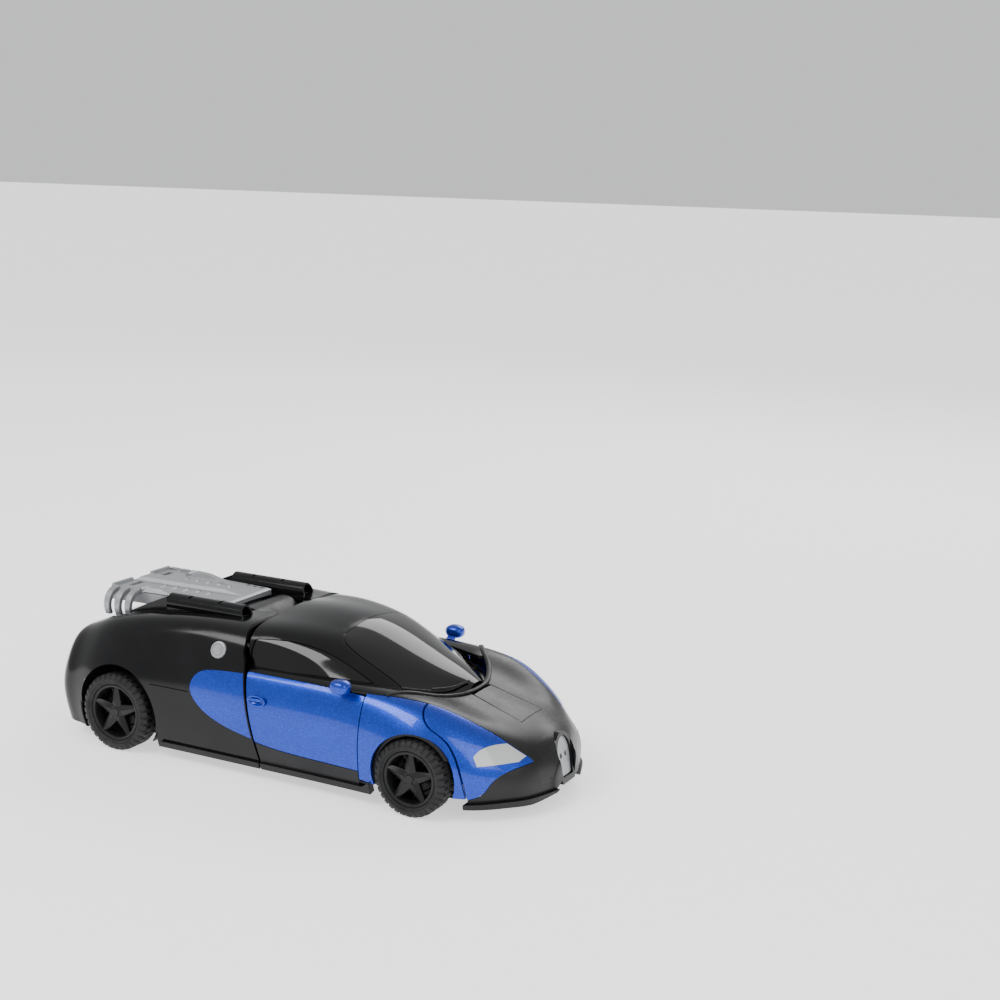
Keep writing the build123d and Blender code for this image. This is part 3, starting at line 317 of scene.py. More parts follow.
# Cabin sections: distance, base half width, roof edge half width and height, crown height.
CABIN_SECTIONS = (
    (-22, 48.4, 42.0, 66.5, 72.8),
    (-5, 48.6, 41.0, 67.0, 74.0),
    (12, 48.4, 38.5, 66.0, 73.4),
    (28, 47.6, 34.5, 63.6, 70.6),
    (45, 45.4, 30.0, 58.0, 64.4),
    (60, 40.4, 25.0, 52.6, 58.2),
    (73, 30.0, 18.0, 49.0, 53.2),
    (83, 13.0, 8.0, 46.8, 49.2),
)
PANEL_WALL = 1.6
PANE_DEPTH = 0.6
STEP = 1.1


def spline(knots, values, places):
    """Natural cubic spline through values at the knots, read at the places."""
    knots, values, places = (np.asarray(v, float) for v in (knots, values, places))
    gaps = np.diff(knots)
    count = len(knots)
    system = np.zeros((count, count))
    right = np.zeros(count)
    system[0, 0] = system[-1, -1] = 1
    for i in range(1, count - 1):
        system[i, i - 1 : i + 2] = gaps[i - 1], 2 * (gaps[i - 1] + gaps[i]), gaps[i]
        right[i] = 6 * ((values[i + 1] - values[i]) / gaps[i] - (values[i] - values[i - 1]) / gaps[i - 1])
    bends = np.linalg.solve(system, right)
    at = np.clip(np.searchsorted(knots, places) - 1, 0, count - 2)
    after = places - knots[at]
    before = knots[at + 1] - places
    gap = gaps[at]
    return (
        (bends[at] * before**3 + bends[at + 1] * after**3) / (6 * gap)
        + (values[at] / gap - bends[at] * gap / 6) * before
        + (values[at + 1] / gap - bends[at + 1] * gap / 6) * after
    )


def smooth_line(points, count):
    """Evenly spread points on a smooth curve through the given ones."""
    points = np.asarray(points, float)
    along = np.concatenate([[0], np.cumsum(np.linalg.norm(np.diff(points, axis=0), axis=1))])
    places = np.linspace(0, along[-1], count)
    return np.stack([spline(along, points[:, k], places) for k in range(points.shape[1])], axis=1)


def curve(points, count):
    """The same smooth curve as a list of points."""
    return [tuple(point) for point in smooth_line(points, count)]


def body_rings(sections, count):
    """Cross-sections of the lower body as closed half rings, sill to sill over the crown."""
    table = np.array(sections, float)
    places = np.arange(
        table[0, 0], table[-1, 0] + 1e-6,
        (table[-1, 0] - table[0, 0]) / round((table[-1, 0] - table[0, 0]) / STEP)
    )
    columns = [spline(table[:, 0], table[:, k], places) for k in range(1, table.shape[1])]
    rings = []
    for x, sill_y, sill_z, wide_y, wide_z, shoulder_y, shoulder_z, crown_z in zip(places, *columns):
        mid = (wide_y * 0.62 + shoulder_y * 0.38, wide_z * 0.40 + shoulder_z * 0.60)
        upper = (shoulder_y * 0.55, shoulder_z * 0.28 + crown_z * 0.72)
        half = [(sill_y, sill_z), (wide_y, wide_z), mid, (shoulder_y, shoulder_z), upper, (0, crown_z)]
        outline = half + [(-y, z) for y, z in reversed(half[:-1])]
        ring = smooth_line(outline, count)
        rings.append(np.column_stack([np.full(count, x), ring]))
    return np.array(rings)


def cabin_rings(count):
    """Cross-sections of the cabin, base to base over the roof."""
    table = np.array(CABIN_SECTIONS, float)
    places = np.linspace(table[0, 0], table[-1, 0], round((table[-1, 0] - table[0, 0]) / STEP))
    columns = [spline(table[:, 0], table[:, k], places) for k in range(1, table.shape[1])]
    rings = []
    for x, base_y, edge_y, edge_z, crown_z in zip(places, *columns):
        middle = (base_y * 0.52 + edge_y * 0.48 + 1.2, (CABIN_BASE_Z + edge_z) / 2)
        upper = (edge_y * 0.55, edge_z * 0.27 + crown_z * 0.73)
        half = [(base_y, CABIN_BASE_Z), middle, (edge_y, edge_z), upper, (0, crown_z)]
        outline = half + [(-y, z) for y, z in reversed(half[:-1])]
        ring = smooth_line(outline, count)
        rings.append(np.column_stack([np.full(count, x), ring]))
    return np.array(rings)


def capped(rings, depth, at_start):
    """Adds a shallow dome that closes the rings at one end."""
    end = rings[0] if at_start else rings[-1]
    centre = np.array([end[:, 0].mean(), 0, (end[:, 2].min() + end[:, 2].max()) / 2])
    added = []
    for step in range(1, 9):
        share = math.cos(math.radians(90 * step / 8.3))
        ring = centre + (end - centre) * share
        ring[:, 0] = end[:, 0] + (-1 if at_start else 1) * depth * math.sqrt(1 - share * share)
        added.append(ring)
    added = np.array(added)
    return np.concatenate([added[::-1], rings]) if at_start else np.concatenate([rings, added])


def grid_normals(grid):
    """Outward normals of a ring grid."""
    along = np.gradient(grid, axis=0)
    across = np.gradient(grid, axis=1)
    normals = np.cross(across, along)
    normals /= np.maximum(np.linalg.norm(normals, axis=2, keepdims=True), 1e-9)
    inside = np.array([grid[..., 0].mean(), 0, 20.0])
    if ((grid - inside) * normals).sum() < 0:
        normals = -normals
    return normals


def shell_mesh(name, grid, wall):
    """Closed shell of the given wall under a grid of outer points."""
    inner = grid - grid_normals(grid) * wall
    rows, columns = grid.shape[:2]
    points = np.concatenate([grid.reshape(-1, 3), inner.reshape(-1, 3)]) * MM
    index = np.arange(rows * columns).reshape(rows, columns)
    quads = np.stack(
        [index[:-1, :-1], index[:-1, 1:], index[1:, 1:], index[1:, :-1]], axis=-1
    ).reshape(-1, 4)
    faces = [tuple(q) for q in quads] + [tuple(q[::-1] + rows * columns) for q in quads]
    edge = list(index[0]) + list(index[1:, -1]) + list(index[-1, -2::-1]) + list(index[-2:0:-1, 0])
    for a, b in zip(edge, edge[1:] + edge[:1]):
        faces.append((b, a, a + rows * columns, b + rows * columns))
    mesh = bpy.data.meshes.new(name)
    mesh.from_pydata(points, [], [tuple(int(i) for i in f) for f in faces])
    tidy = bmesh.new()
    tidy.from_mesh(mesh)
    bmesh.ops.recalc_face_normals(tidy, faces=tidy.faces)
    tidy.to_mesh(mesh)
    tidy.free()
    return mesh


BODY_POINTS = 150
CABIN_POINTS = 130
FRONT_GRID = capped(body_rings(FRONT_SECTIONS, BODY_POINTS), 1.6, False)
REAR_GRID = capped(body_rings(REAR_SECTIONS, BODY_POINTS), 1.5, True)
CABIN_GRID = cabin_rings(CABIN_POINTS)
FRONT_NORMALS = grid_normals(FRONT_GRID)
REAR_NORMALS = grid_normals(REAR_GRID)


def prism_mesh(name, outline, axis, low, high):
    """Closed prism of a side-view (x, z), plan (x, y) or front (y, z) outline between two depths."""
    def place(a, b, depth):
        return {"Y": (a, depth, b), "Z": (a, b, depth), "X": (depth, a, b)}[axis]

    count = len(outline)
    points = [place(a, b, d) for d in (low, high) for a, b in outline]
    faces = [tuple(range(count)), tuple(range(2 * count - 1, count - 1, -1))]
    faces += [(i, i + count, (i + 1) % count + count, (i + 1) % count) for i in range(count)]
    mesh = bpy.data.meshes.new(name)
    mesh.from_pydata([tuple(c * MM for c in p) for p in points], [], faces)
    tidy = bmesh.new()
    tidy.from_mesh(mesh)
    bmesh.ops.recalc_face_normals(tidy, faces=tidy.faces)
    bmesh.ops.triangulate(tidy, faces=[f for f in tidy.faces if len(f.verts) > 4])
    tidy.to_mesh(mesh)
    tidy.free()
    return mesh


def circle(x, z, radius, count=72):
    return [
        (x + radius * math.cos(2 * math.pi * i / count), z + radius * math.sin(2 * math.pi * i / count))
        for i in range(count)
    ]


def carved(name, mesh, keep=(), cut=()):
    """The mesh kept inside every prism of keep and outside every prism of cut."""
    subject = bpy.data.objects.new(name, mesh.copy())
    bpy.context.scene.collection.objects.link(subject)
    tools = []
    for operation, prisms in (("INTERSECT", keep), ("DIFFERENCE", cut)):
        for prism in prisms:
            tool = bpy.data.objects.new(name + "_tool", prism)
            bpy.context.scene.collection.objects.link(tool)
            tools.append(tool)
            modifier = subject.modifiers.new("carve", "BOOLEAN")
            modifier.operation = operation
            modifier.solver = "MANIFOLD"
            modifier.object = tool
    bpy.context.view_layer.update()
    result = bpy.data.meshes.new_from_object(subject.evaluated_get(bpy.context.evaluated_depsgraph_get()))
    for thing in (subject, *tools):
        bpy.data.objects.remove(thing)
    return result


def mirrored_mesh(mesh):
    """The same mesh on the car's right side."""
    copy = mesh.copy()
    copy.transform(Matrix.Scale(-1, 4, (0, 1, 0)))
    copy.flip_normals()
    return copy


DARK_GLASS = plastic(
    "dark_glass", (0.0025, 0.002, 0.0018), (0.004, 0.0034, 0.003), 0.04, 0.07, 300, 0.01, specular=0.38
)


def show(name, mesh, body, slot, replaces=(), bevel=0.35, angle=35, material=None):
    """Puts a mesh in the scene as a finished piece on a CAD body."""
    mesh.materials.clear()
    mesh.materials.append(material or MATERIALS[slot])
    for polygon in mesh.polygons:
        polygon.use_smooth = True
    piece = bpy.data.objects.new(name, mesh)
    bpy.context.scene.collection.objects.link(piece)
    if bevel:
        modifier = piece.modifiers.new("edges", "BEVEL")
        modifier.width = bevel * MM
        modifier.segments = 2
        modifier.limit_method = "ANGLE"
        modifier.angle_limit = math.radians(angle)
        modifier.harden_normals = True
    else:
        mesh.set_sharp_from_angle(angle=math.radians(angle))
    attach(piece, body)
    if replaces:
        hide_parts(*replaces)
    return piece


def show_pair(name, mesh, body, slot, replaces=(), **look):
    """Shows a left-hand mesh and its mirror image; {side} in a body or a node becomes left or right."""
    for side_name, sign in SIDES:
        copy = mesh.copy() if sign > 0 else mirrored_mesh(mesh)
        nodes = [node.format(side=side_name) for node in replaces]
        show(f"{name}_{side_name}", copy, body.format(side=side_name), slot, nodes, **look)


def side(outline, low=-80, high=80):
    """Cutting prism across the car from an (x, z) outline."""
    return prism_mesh("side_cut", outline, "Y", low, high)


def plan(outline, low=0, high=100):
    """Upright cutting prism from an (x, y) outline."""
    return prism_mesh("plan_cut", outline, "Z", low, high)


def front(outline, low, high):
    """Cutting prism along the car from a (y, z) outline."""
    return prism_mesh("front_cut", outline, "X", low, high)


# Seams, (x, z) in side view
SEAM_TOP = (-17.2, 66.0)
SEAM_LOW = (-3.0, 5.5)
GAP = 0.5
DOOR_FRONT_X = 51.5
BELT_Z = 50.4
HIP = (-37.0, 59.0)
CABIN_SWING = 20.3
NOSE_SEAM = curve(
    ((79.6, 54.0), (80.6, 48.8), (84.5, 43.0), (93.0, 37.5), (99.5, 29.5), (103.0, 20.0), (105.0, 5.0)), 40
)
SKIRT_LINE = curve(((-22, 26), (-12, 21.2), (0, 18.4), (20, 16.9), (57, 16.0)), 30)
WING_LINE = curve(
    ((56, 48.0), (76, 43.4), (94, 38.0), (114.3, 30.0), (122.0, 26.0), (128.5, 22.5), (136, 20)), 40
)
BUMPER_LINE = curve(
    ((96, 9.2), (104, 10.6), (110.5, 13.6), (113.6, 18.6), (117.5, 22.4), (124, 24.8), (136, 28)), 36
)
REAR_HUB = (-87.0, 20.5)
REAR_ARCH_RADIUS = 23.5
FRONT_HUB = (79.0, 18.0)
FRONT_ARCH_RADIUS = 20.6
GRILLE_LEAN = 0.24
GRILLE_SCREW = (2.5, 21.6)
TAIL_LAMP = (26, 35.5)


def seam_x(z):
    """Where the leaning seam between tail and door is at a height."""
    share = (SEAM_TOP[1] - z) / (SEAM_TOP[1] - SEAM_LOW[1])
    return SEAM_TOP[0] + share * (SEAM_LOW[0] - SEAM_TOP[0])


def moved(points, dx, dz=0.0):
    """Outline shifted in side view."""
    return [(x + dx, z + dz) for x, z in points]


def make_body():
    """Every outer panel of the car, cut from three smooth shells."""
    front_shell = shell_mesh("front_shell", FRONT_GRID, PANEL_WALL)
    rear_shell = shell_mesh("rear_shell", REAR_GRID, PANEL_WALL)
    cabin_shell = shell_mesh("cabin_shell", CABIN_GRID, PANEL_WALL)

    # tail shell
    arc = [
        (HIP[0] + (CABIN_SWING - 0.6) * math.cos(a), HIP[1] + (CABIN_SWING - 0.6) * math.sin(a))
        for a in np.linspace(0.02, math.pi / 2, 24)
    ]
    tail_side = [(-140, 0), (seam_x(0) - GAP, 0), (seam_x(56) - GAP, 56)] + arc + [(-37, 90), (-140, 90)]
    accent = [(seam_x(50.5) - 1.2, 50.5), (seam_x(20.5) - 1.2, 20.5)]
    accent += curve(
        (
            (seam_x(20.5) - 1.6, 20.5), (-28, 25.8), (-39.5, 33.2), (-43.4, 40.5), (-40.5, 46.6),
            (-31, 49.6), (seam_x(50.5) - 1.6, 50.5)
        ),
        36
    )
    tail = carved(
        "tail", rear_shell, keep=[side(tail_side)],
        cut=[side(circle(*REAR_HUB, REAR_ARCH_RADIUS)),
             side(
                 [(-109.5, -2), (-64.5, -2), (-64.5, 15), (-109.5, 15)]
             ), plan([(-47.5, -16), (10, -16), (10, 16), (-47.5, 16)], 60), side(accent),
             side([(-66, 37.7), (-44.2, 37.2), (-44.2, 37.6), (-66, 38.1)])],
    )
    show("tail_panel", tail, "base", "black_gloss", ["rear_shell"])
    accent_mesh = carved("accent", rear_shell, keep=[side(accent)])
    show("tail_crescents", accent_mesh, "base", "metallic_blue", ["tail_accents"])

    # doors, front fenders and skirts
    door_side = [
        (seam_x(5) + GAP, 5), (seam_x(BELT_Z) + GAP, BELT_Z), (seam_x(BELT_Z) + GAP, 60),
        (DOOR_FRONT_X - 0.25, 60), (DOOR_FRONT_X - 0.25, 5)
    ]
    above_skirt = SKIRT_LINE + [(57, 70), (-22, 70)]
    below_skirt = [(x, z - 0.35) for x, z in SKIRT_LINE] + [(57, 0), (-22, 0)]
    outboard = plan([(-40, 50.2), (80, 50.2), (80, 90), (-40, 90)])
    recess = ellipsoid("recess", (-4.6, 57.6, 39.6), (5.0, 2.6, 2.3))
    door = carved(
        "door", front_shell, keep=[side(door_side, 0, 80), side(above_skirt, 0, 80), outboard], cut=[recess]
    )
    cup = carved(
        "cup", ellipsoid("cup", (-4.6, 57.6, 39.6), (5.6, 3.2, 2.9)),
        keep=[slab("cup_area", (-12, 53.6, 34), (3, 56.3, 46))], cut=[recess]
    )
    handle = ellipsoid("handle", (-5.4, 55.9, 40.2), (4.4, 0.8, 0.8), 2.4)
    door = merged("door", [door, cup, handle])
    fender_side = [(DOOR_FRONT_X + 0.25, 12.0), (DOOR_FRONT_X + 0.25, 60)] + moved(NOSE_SEAM, -0.9)
    wing_plan = [(x, y + 0.4) for x, y in WING_LINE]
    fender = carved(
        "fender", front_shell,
        keep=[side(fender_side, 0, 80), plan(wing_plan + [(136, 90), (40, 90), (40, 50.0)])],
        cut=[
            side(circle(*FRONT_HUB, FRONT_ARCH_RADIUS)), side([(58.5, -2), (120, -2), (120, 11), (58.5, 11)])
        ],
    )
    skirt = carved(
        "skirt", front_shell,
        keep=[
            side(
                [
                    (seam_x(5) + GAP, 5), (seam_x(26) + GAP, 28), (DOOR_FRONT_X - 0.25, 28),
                    (DOOR_FRONT_X - 0.25, 5)
                ],
                0, 80
            ),
            side(below_skirt, 0, 80)
        ],
    )
    show_pair("door_panel", door, "arm_{side}", "metallic_blue", ["door_{side}"])
    show_pair("fender_panel", fender, "arm_{side}", "metallic_blue", ["front_fender_{side}"])
    show_pair("skirt_panel", skirt, "arm_{side}", "black_satin", ["side_skirt_{side}"])

    # nose wings, headlights, bonnet and bumper
    nose_side = NOSE_SEAM + [(150, 5), (150, 60)]
    lamp = [
        (114.6, 30.4), (122.4, 26.2), (120.5, 32.0), (116.2, 40.0), (108.0, 46.6), (105.5, 46.2),
        (107.0, 43.0)
    ]
    wing_keep = [side(nose_side, 0, 80), plan([(x, y + 0.2) for x, y in WING_LINE] + [(136, 90), (40, 90)])]
    wing = carved(
        "wing", front_shell, keep=wing_keep + [
            side([(78, 70), (78, 9.2)] + BUMPER_LINE + [(136, 70)], 0, 80)
        ],
        cut=[plan(lamp, 26.2)],
    )
    lamp_mesh = carved(
        "lamp", front_shell,
        keep=[
            side(nose_side, 0, 80), plan(lamp, 26.2),
            plan([(x, y + 0.2) for x, y in WING_LINE] + [(136, 90), (40, 90)])
        ]
    )
    show_pair("wing_panel", wing, "nose", "metallic_blue", ["front_wing_{side}"])
    show_pair("headlight", lamp_mesh, "nose", "pearl_lamp", ["headlights"], bevel=0.25)

    whole_plan = [(x, y - 0.2) for x, y in WING_LINE] + [(x, -y + 0.2) for x, y in WING_LINE[::-1]]
    screen = curve(
        (
            (60.0, 49), (66.5, 40.6), (74.5, 30.6), (81.2, 18), (84.4, 9), (84.9, 0), (84.4, -9),
            (81.2, -18), (74.5, -30.6), (66.5, -40.6), (60.0, -49)
        ),
        60
    )
    lid = [(86.0, 8.6), (112.2, 11.0), (112.2, -11.0), (86.0, -8.6)]
    lid_hole = [(80, 9.0), (112.5, 11.3), (112.5, -11.3), (80, -9.0)]
    arch = [(-6.4, 10.4), (-8.4, 21)] + [
        (8.6 * math.sin(a) , 23.0 + 9.6 * math.cos(a)) for a in np.linspace(-1.45, 1.45, 24)
    ] + [(8.4, 21), (6.4, 10.4)]
    bonnet_side = [(56, 60), (150, 60), (150, 10.5)] + [
        (140, 14), (126, 14), (121, 12), (116, 26), (100, 36), (56, 38.5)
    ]
    bonnet = carved(
        "bonnet", front_shell, keep=[plan(whole_plan), side(bonnet_side)],
        cut=[plan([(40, 70)] + screen + [(40, -70)], 30), plan(lid_hole, 20), front(arch, 105, 150)],
    )
    show("bonnet_panel", bonnet, "nose", "dark_hood", ["bonnet"])
    lid_mesh = carved("lid", front_shell, keep=[plan(lid, 20)])
    show("lid_panel", lid_mesh, "head", "dark_hood", ["head_lid"])
    bumper = carved(
        "bumper", front_shell,
        keep=[
            side(nose_side),
            side([(90, -2), (90, 9.0)] + [(x, z - 0.3) for x, z in BUMPER_LINE] + [(136, -2)])
        ],
        cut=[plan(whole_plan, 14, 60), front(arch, 105, 150)],
    )
    show("bumper_panel", bumper, "nose", "black_satin", ["bumper"])

    # ledge between the cabin's foot and the doors
    ledge = [
        (-13, 49.9), (40, 49.9), (55, 48.2), (59.4, 47.2), (65.8, 40.4), (70, 36), (66, 34), (50, 37),
        (20, 41), (-13, 42)
    ]
    ledge = carved("ledge", front_shell, keep=[plan(ledge, 40)])
    show_pair("cabin_ledge", ledge, "torso", "black_gloss")

    # roof, windscreen and side windows
    screen_side = [(27.0, 66.5), (64.0, 47.9), (70, 44.6), (84.5, 41.0), (90, 90), (22, 90), (23.5, 69)]
    window = [(-13.6, 50.9), (-15.0, 60), (-14.4, 65.0)] + curve(
        ((-13.0, 65.6), (2, 66.5), (14, 65.3), (27, 61.8), (39, 56.6), (50.5, 50.9)), 24
    )
    rear_edge = [(-16.7, 30), (-16.7, 90), (90, 90), (90, 30)]
    low_edge = [(-12.6, 40), (-14.2, 56), (-16.7, 62), (-30, 62), (-30, 40)]
    roof = carved(
        "roof", cabin_shell, keep=[side(rear_edge)],
        cut=[side(low_edge), side(screen_side), side(window, 28, 80), side(window, -80, -28)]
    )
    show("roof_panel", roof, "torso", "black_gloss", ["roof_shell"])
    glass = carved("glass", cabin_shell, keep=[side([(x + 0.3, z + 0.25) for x, z in screen_side])])
    show("windscreen_panel", glass, "torso", "black_gloss", ["windscreen"], bevel=0.25, material=DARK_GLASS)
    pane_shell = shell_mesh("pane_shell", CABIN_GRID - grid_normals(CABIN_GRID) * PANE_DEPTH, 1.0)
    pane = carved(
        "pane", pane_shell, keep=[side([(x * 0.985 + 0.25, z * 0.985 + 0.85) for x, z in window], 28, 80)]
    )
    show_pair("window", pane, "torso", "black_gloss", ["side_windows"], bevel=0.2, material=DARK_GLASS)


# ---------------------------------------------------------------- small solids
def lathe(name, profile, centre, steps=96, ripple=None):
    """Ring or disc turned about a line along Y. The profile is (radius, y), walked round its edge."""
    x, z = centre
    count = len(profile)
    closed = profile[0][0] > 0
    points, faces = [], []
    for step in range(steps):
        angle = 2 * math.pi * step / steps
        for index, (radius, y) in enumerate(profile):
            reach = radius + (ripple(step, index) if ripple else 0)
            points.append(((x + reach * math.cos(angle)) * MM, y * MM, (z + reach * math.sin(angle)) * MM))
    for step in range(steps):
        here, after = step * count, (step + 1) % steps * count
        for i in range(count if closed else count - 1):
            j = (i + 1) % count
            faces.append((here + i, here + j, after + j, after + i))
    mesh = bpy.data.meshes.new(name)
    mesh.from_pydata(points, [], faces)
    tidy = bmesh.new()
    tidy.from_mesh(mesh)
    bmesh.ops.remove_doubles(tidy, verts=tidy.verts, dist=1e-7)
    bmesh.ops.dissolve_degenerate(tidy, dist=1e-8, edges=tidy.edges)
    bmesh.ops.recalc_face_normals(tidy, faces=tidy.faces)
    tidy.to_mesh(mesh)
    tidy.free()
    return mesh


def hull(name, points):
    """Faceted convex solid round the points."""
    tidy = bmesh.new()
    corners = [tidy.verts.new([c * MM for c in p]) for p in points]
    made = bmesh.ops.convex_hull(tidy, input=corners)
    bmesh.ops.delete(tidy, geom=made["geom_interior"] + made["geom_unused"], context="VERTS")
    bmesh.ops.dissolve_limit(tidy, angle_limit=0.02, verts=tidy.verts, edges=tidy.edges)
    bmesh.ops.recalc_face_normals(tidy, faces=tidy.faces)
    mesh = bpy.data.meshes.new(name)
    tidy.to_mesh(mesh)
    tidy.free()
    return mesh


def slab(name, low, high, taper=0.0):
    """Box between two corners, whose top may be drawn in."""
    (x0, y0, z0), (x1, y1, z1) = low, high
    top = [(x, y, z1) for x in (x0 + taper, x1 - taper) for y in (y0 + taper, y1 - taper)]
    return hull(name, [(x, y, z0) for x in (x0, x1) for y in (y0, y1)] + top)


def ellipsoid(name, centre, radii, power=2.0, rings=24):
    """Egg shape, or a rounded box where the power is above 2."""
    def swell(value):
        return math.copysign(abs(value) ** (2 / power), value)

    points, faces = [], []
    around = rings * 2
    for i in range(1, rings):
        tilt = math.pi * i / rings - math.pi / 2
        for j in range(around):
            turn = 2 * math.pi * j / around
            shape = (
                swell(math.cos(tilt)) * swell(math.cos(turn)), swell(math.cos(tilt)) * swell(math.sin(turn)),
                swell(math.sin(tilt))
            )
            points.append(tuple((c + r * s) * MM for c, r, s in zip(centre, radii, shape)))
    for i in range(rings - 2):
        for j in range(around):
            k = (j + 1) % around
            faces.append((i * around + j, i * around + k, (i + 1) * around + k, (i + 1) * around + j))
    low, high = len(points), len(points) + 1
    points += [
        (centre[0] * MM, centre[1] * MM, (centre[2] - radii[2]) * MM),
        (centre[0] * MM, centre[1] * MM, (centre[2] + radii[2]) * MM)
    ]
    last = (rings - 2) * around
    for j in range(around):
        k = (j + 1) % around
        faces += [(low, k, j), (high, last + j, last + k)]
    mesh = bpy.data.meshes.new(name)
    mesh.from_pydata(points, [], faces)
    return mesh


def rod(name, start, end, radius, steps=32):
    """Round bar between two points."""
    start, end = Vector(start), Vector(end)
    ahead = (end - start).normalized()
    across = ahead.orthogonal().normalized()
    other = ahead.cross(across)
    points = [
        tuple((p + (across * math.cos(a) + other * math.sin(a)) * radius) * MM) for p in (start, end)
        for a in (2 * math.pi * i / steps for i in range(steps))
    ]
    faces = [tuple(range(steps))[::-1], tuple(range(steps, 2 * steps))]
    faces += [(i, (i + 1) % steps, (i + 1) % steps + steps, i + steps) for i in range(steps)]
    mesh = bpy.data.meshes.new(name)
    mesh.from_pydata(points, [], faces)
    tidy = bmesh.new()
    tidy.from_mesh(mesh)
    bmesh.ops.recalc_face_normals(tidy, faces=tidy.faces)
    tidy.to_mesh(mesh)
    tidy.free()
    return mesh


def merged(name, meshes):
    """One mesh made of several closed solids."""
    whole = bmesh.new()
    for mesh in meshes:
        whole.from_mesh(mesh)
    mesh = bpy.data.meshes.new(name)
    whole.to_mesh(mesh)
    whole.free()
    return mesh


def strip(name, path, width, height):
    """Bar of a rounded rectangular section along a path of (x, y, z) points."""
    path = smooth_line(path, 60)
    points, faces = [], []
    section = [(-0.5, -0.5), (-0.5, 0.2), (-0.3, 0.5), (0.3, 0.5), (0.5, 0.2), (0.5, -0.5)]
    count = len(section)
    for i, place in enumerate(path):
        ahead = path[min(i + 1, len(path) - 1)] - path[max(i - 1, 0)]
        across = np.array([ahead[1], -ahead[0], 0.0])
        across /= np.linalg.norm(across)
        for a, b in section:
            points.append(tuple((place + across * a * width + np.array([0, 0, b * height])) * MM))
    for i in range(len(path) - 1):
        for j in range(count):
            k = (j + 1) % count
            faces.append((i * count + j, i * count + k, (i + 1) * count + k, (i + 1) * count + j))
    faces += [tuple(range(count)), tuple(range(len(points) - 1, len(points) - 1 - count, -1))]
    mesh = bpy.data.meshes.new(name)
    mesh.from_pydata(points, [], faces)
    tidy = bmesh.new()
    tidy.from_mesh(mesh)
    bmesh.ops.recalc_face_normals(tidy, faces=tidy.faces)
    tidy.to_mesh(mesh)
    tidy.free()
    return mesh


# ---------------------------------------------------------------- wheels
TYRE_INNER_Y, TYRE_OUTER_Y = 45.4, 58.4
LUG_STEPS = 8


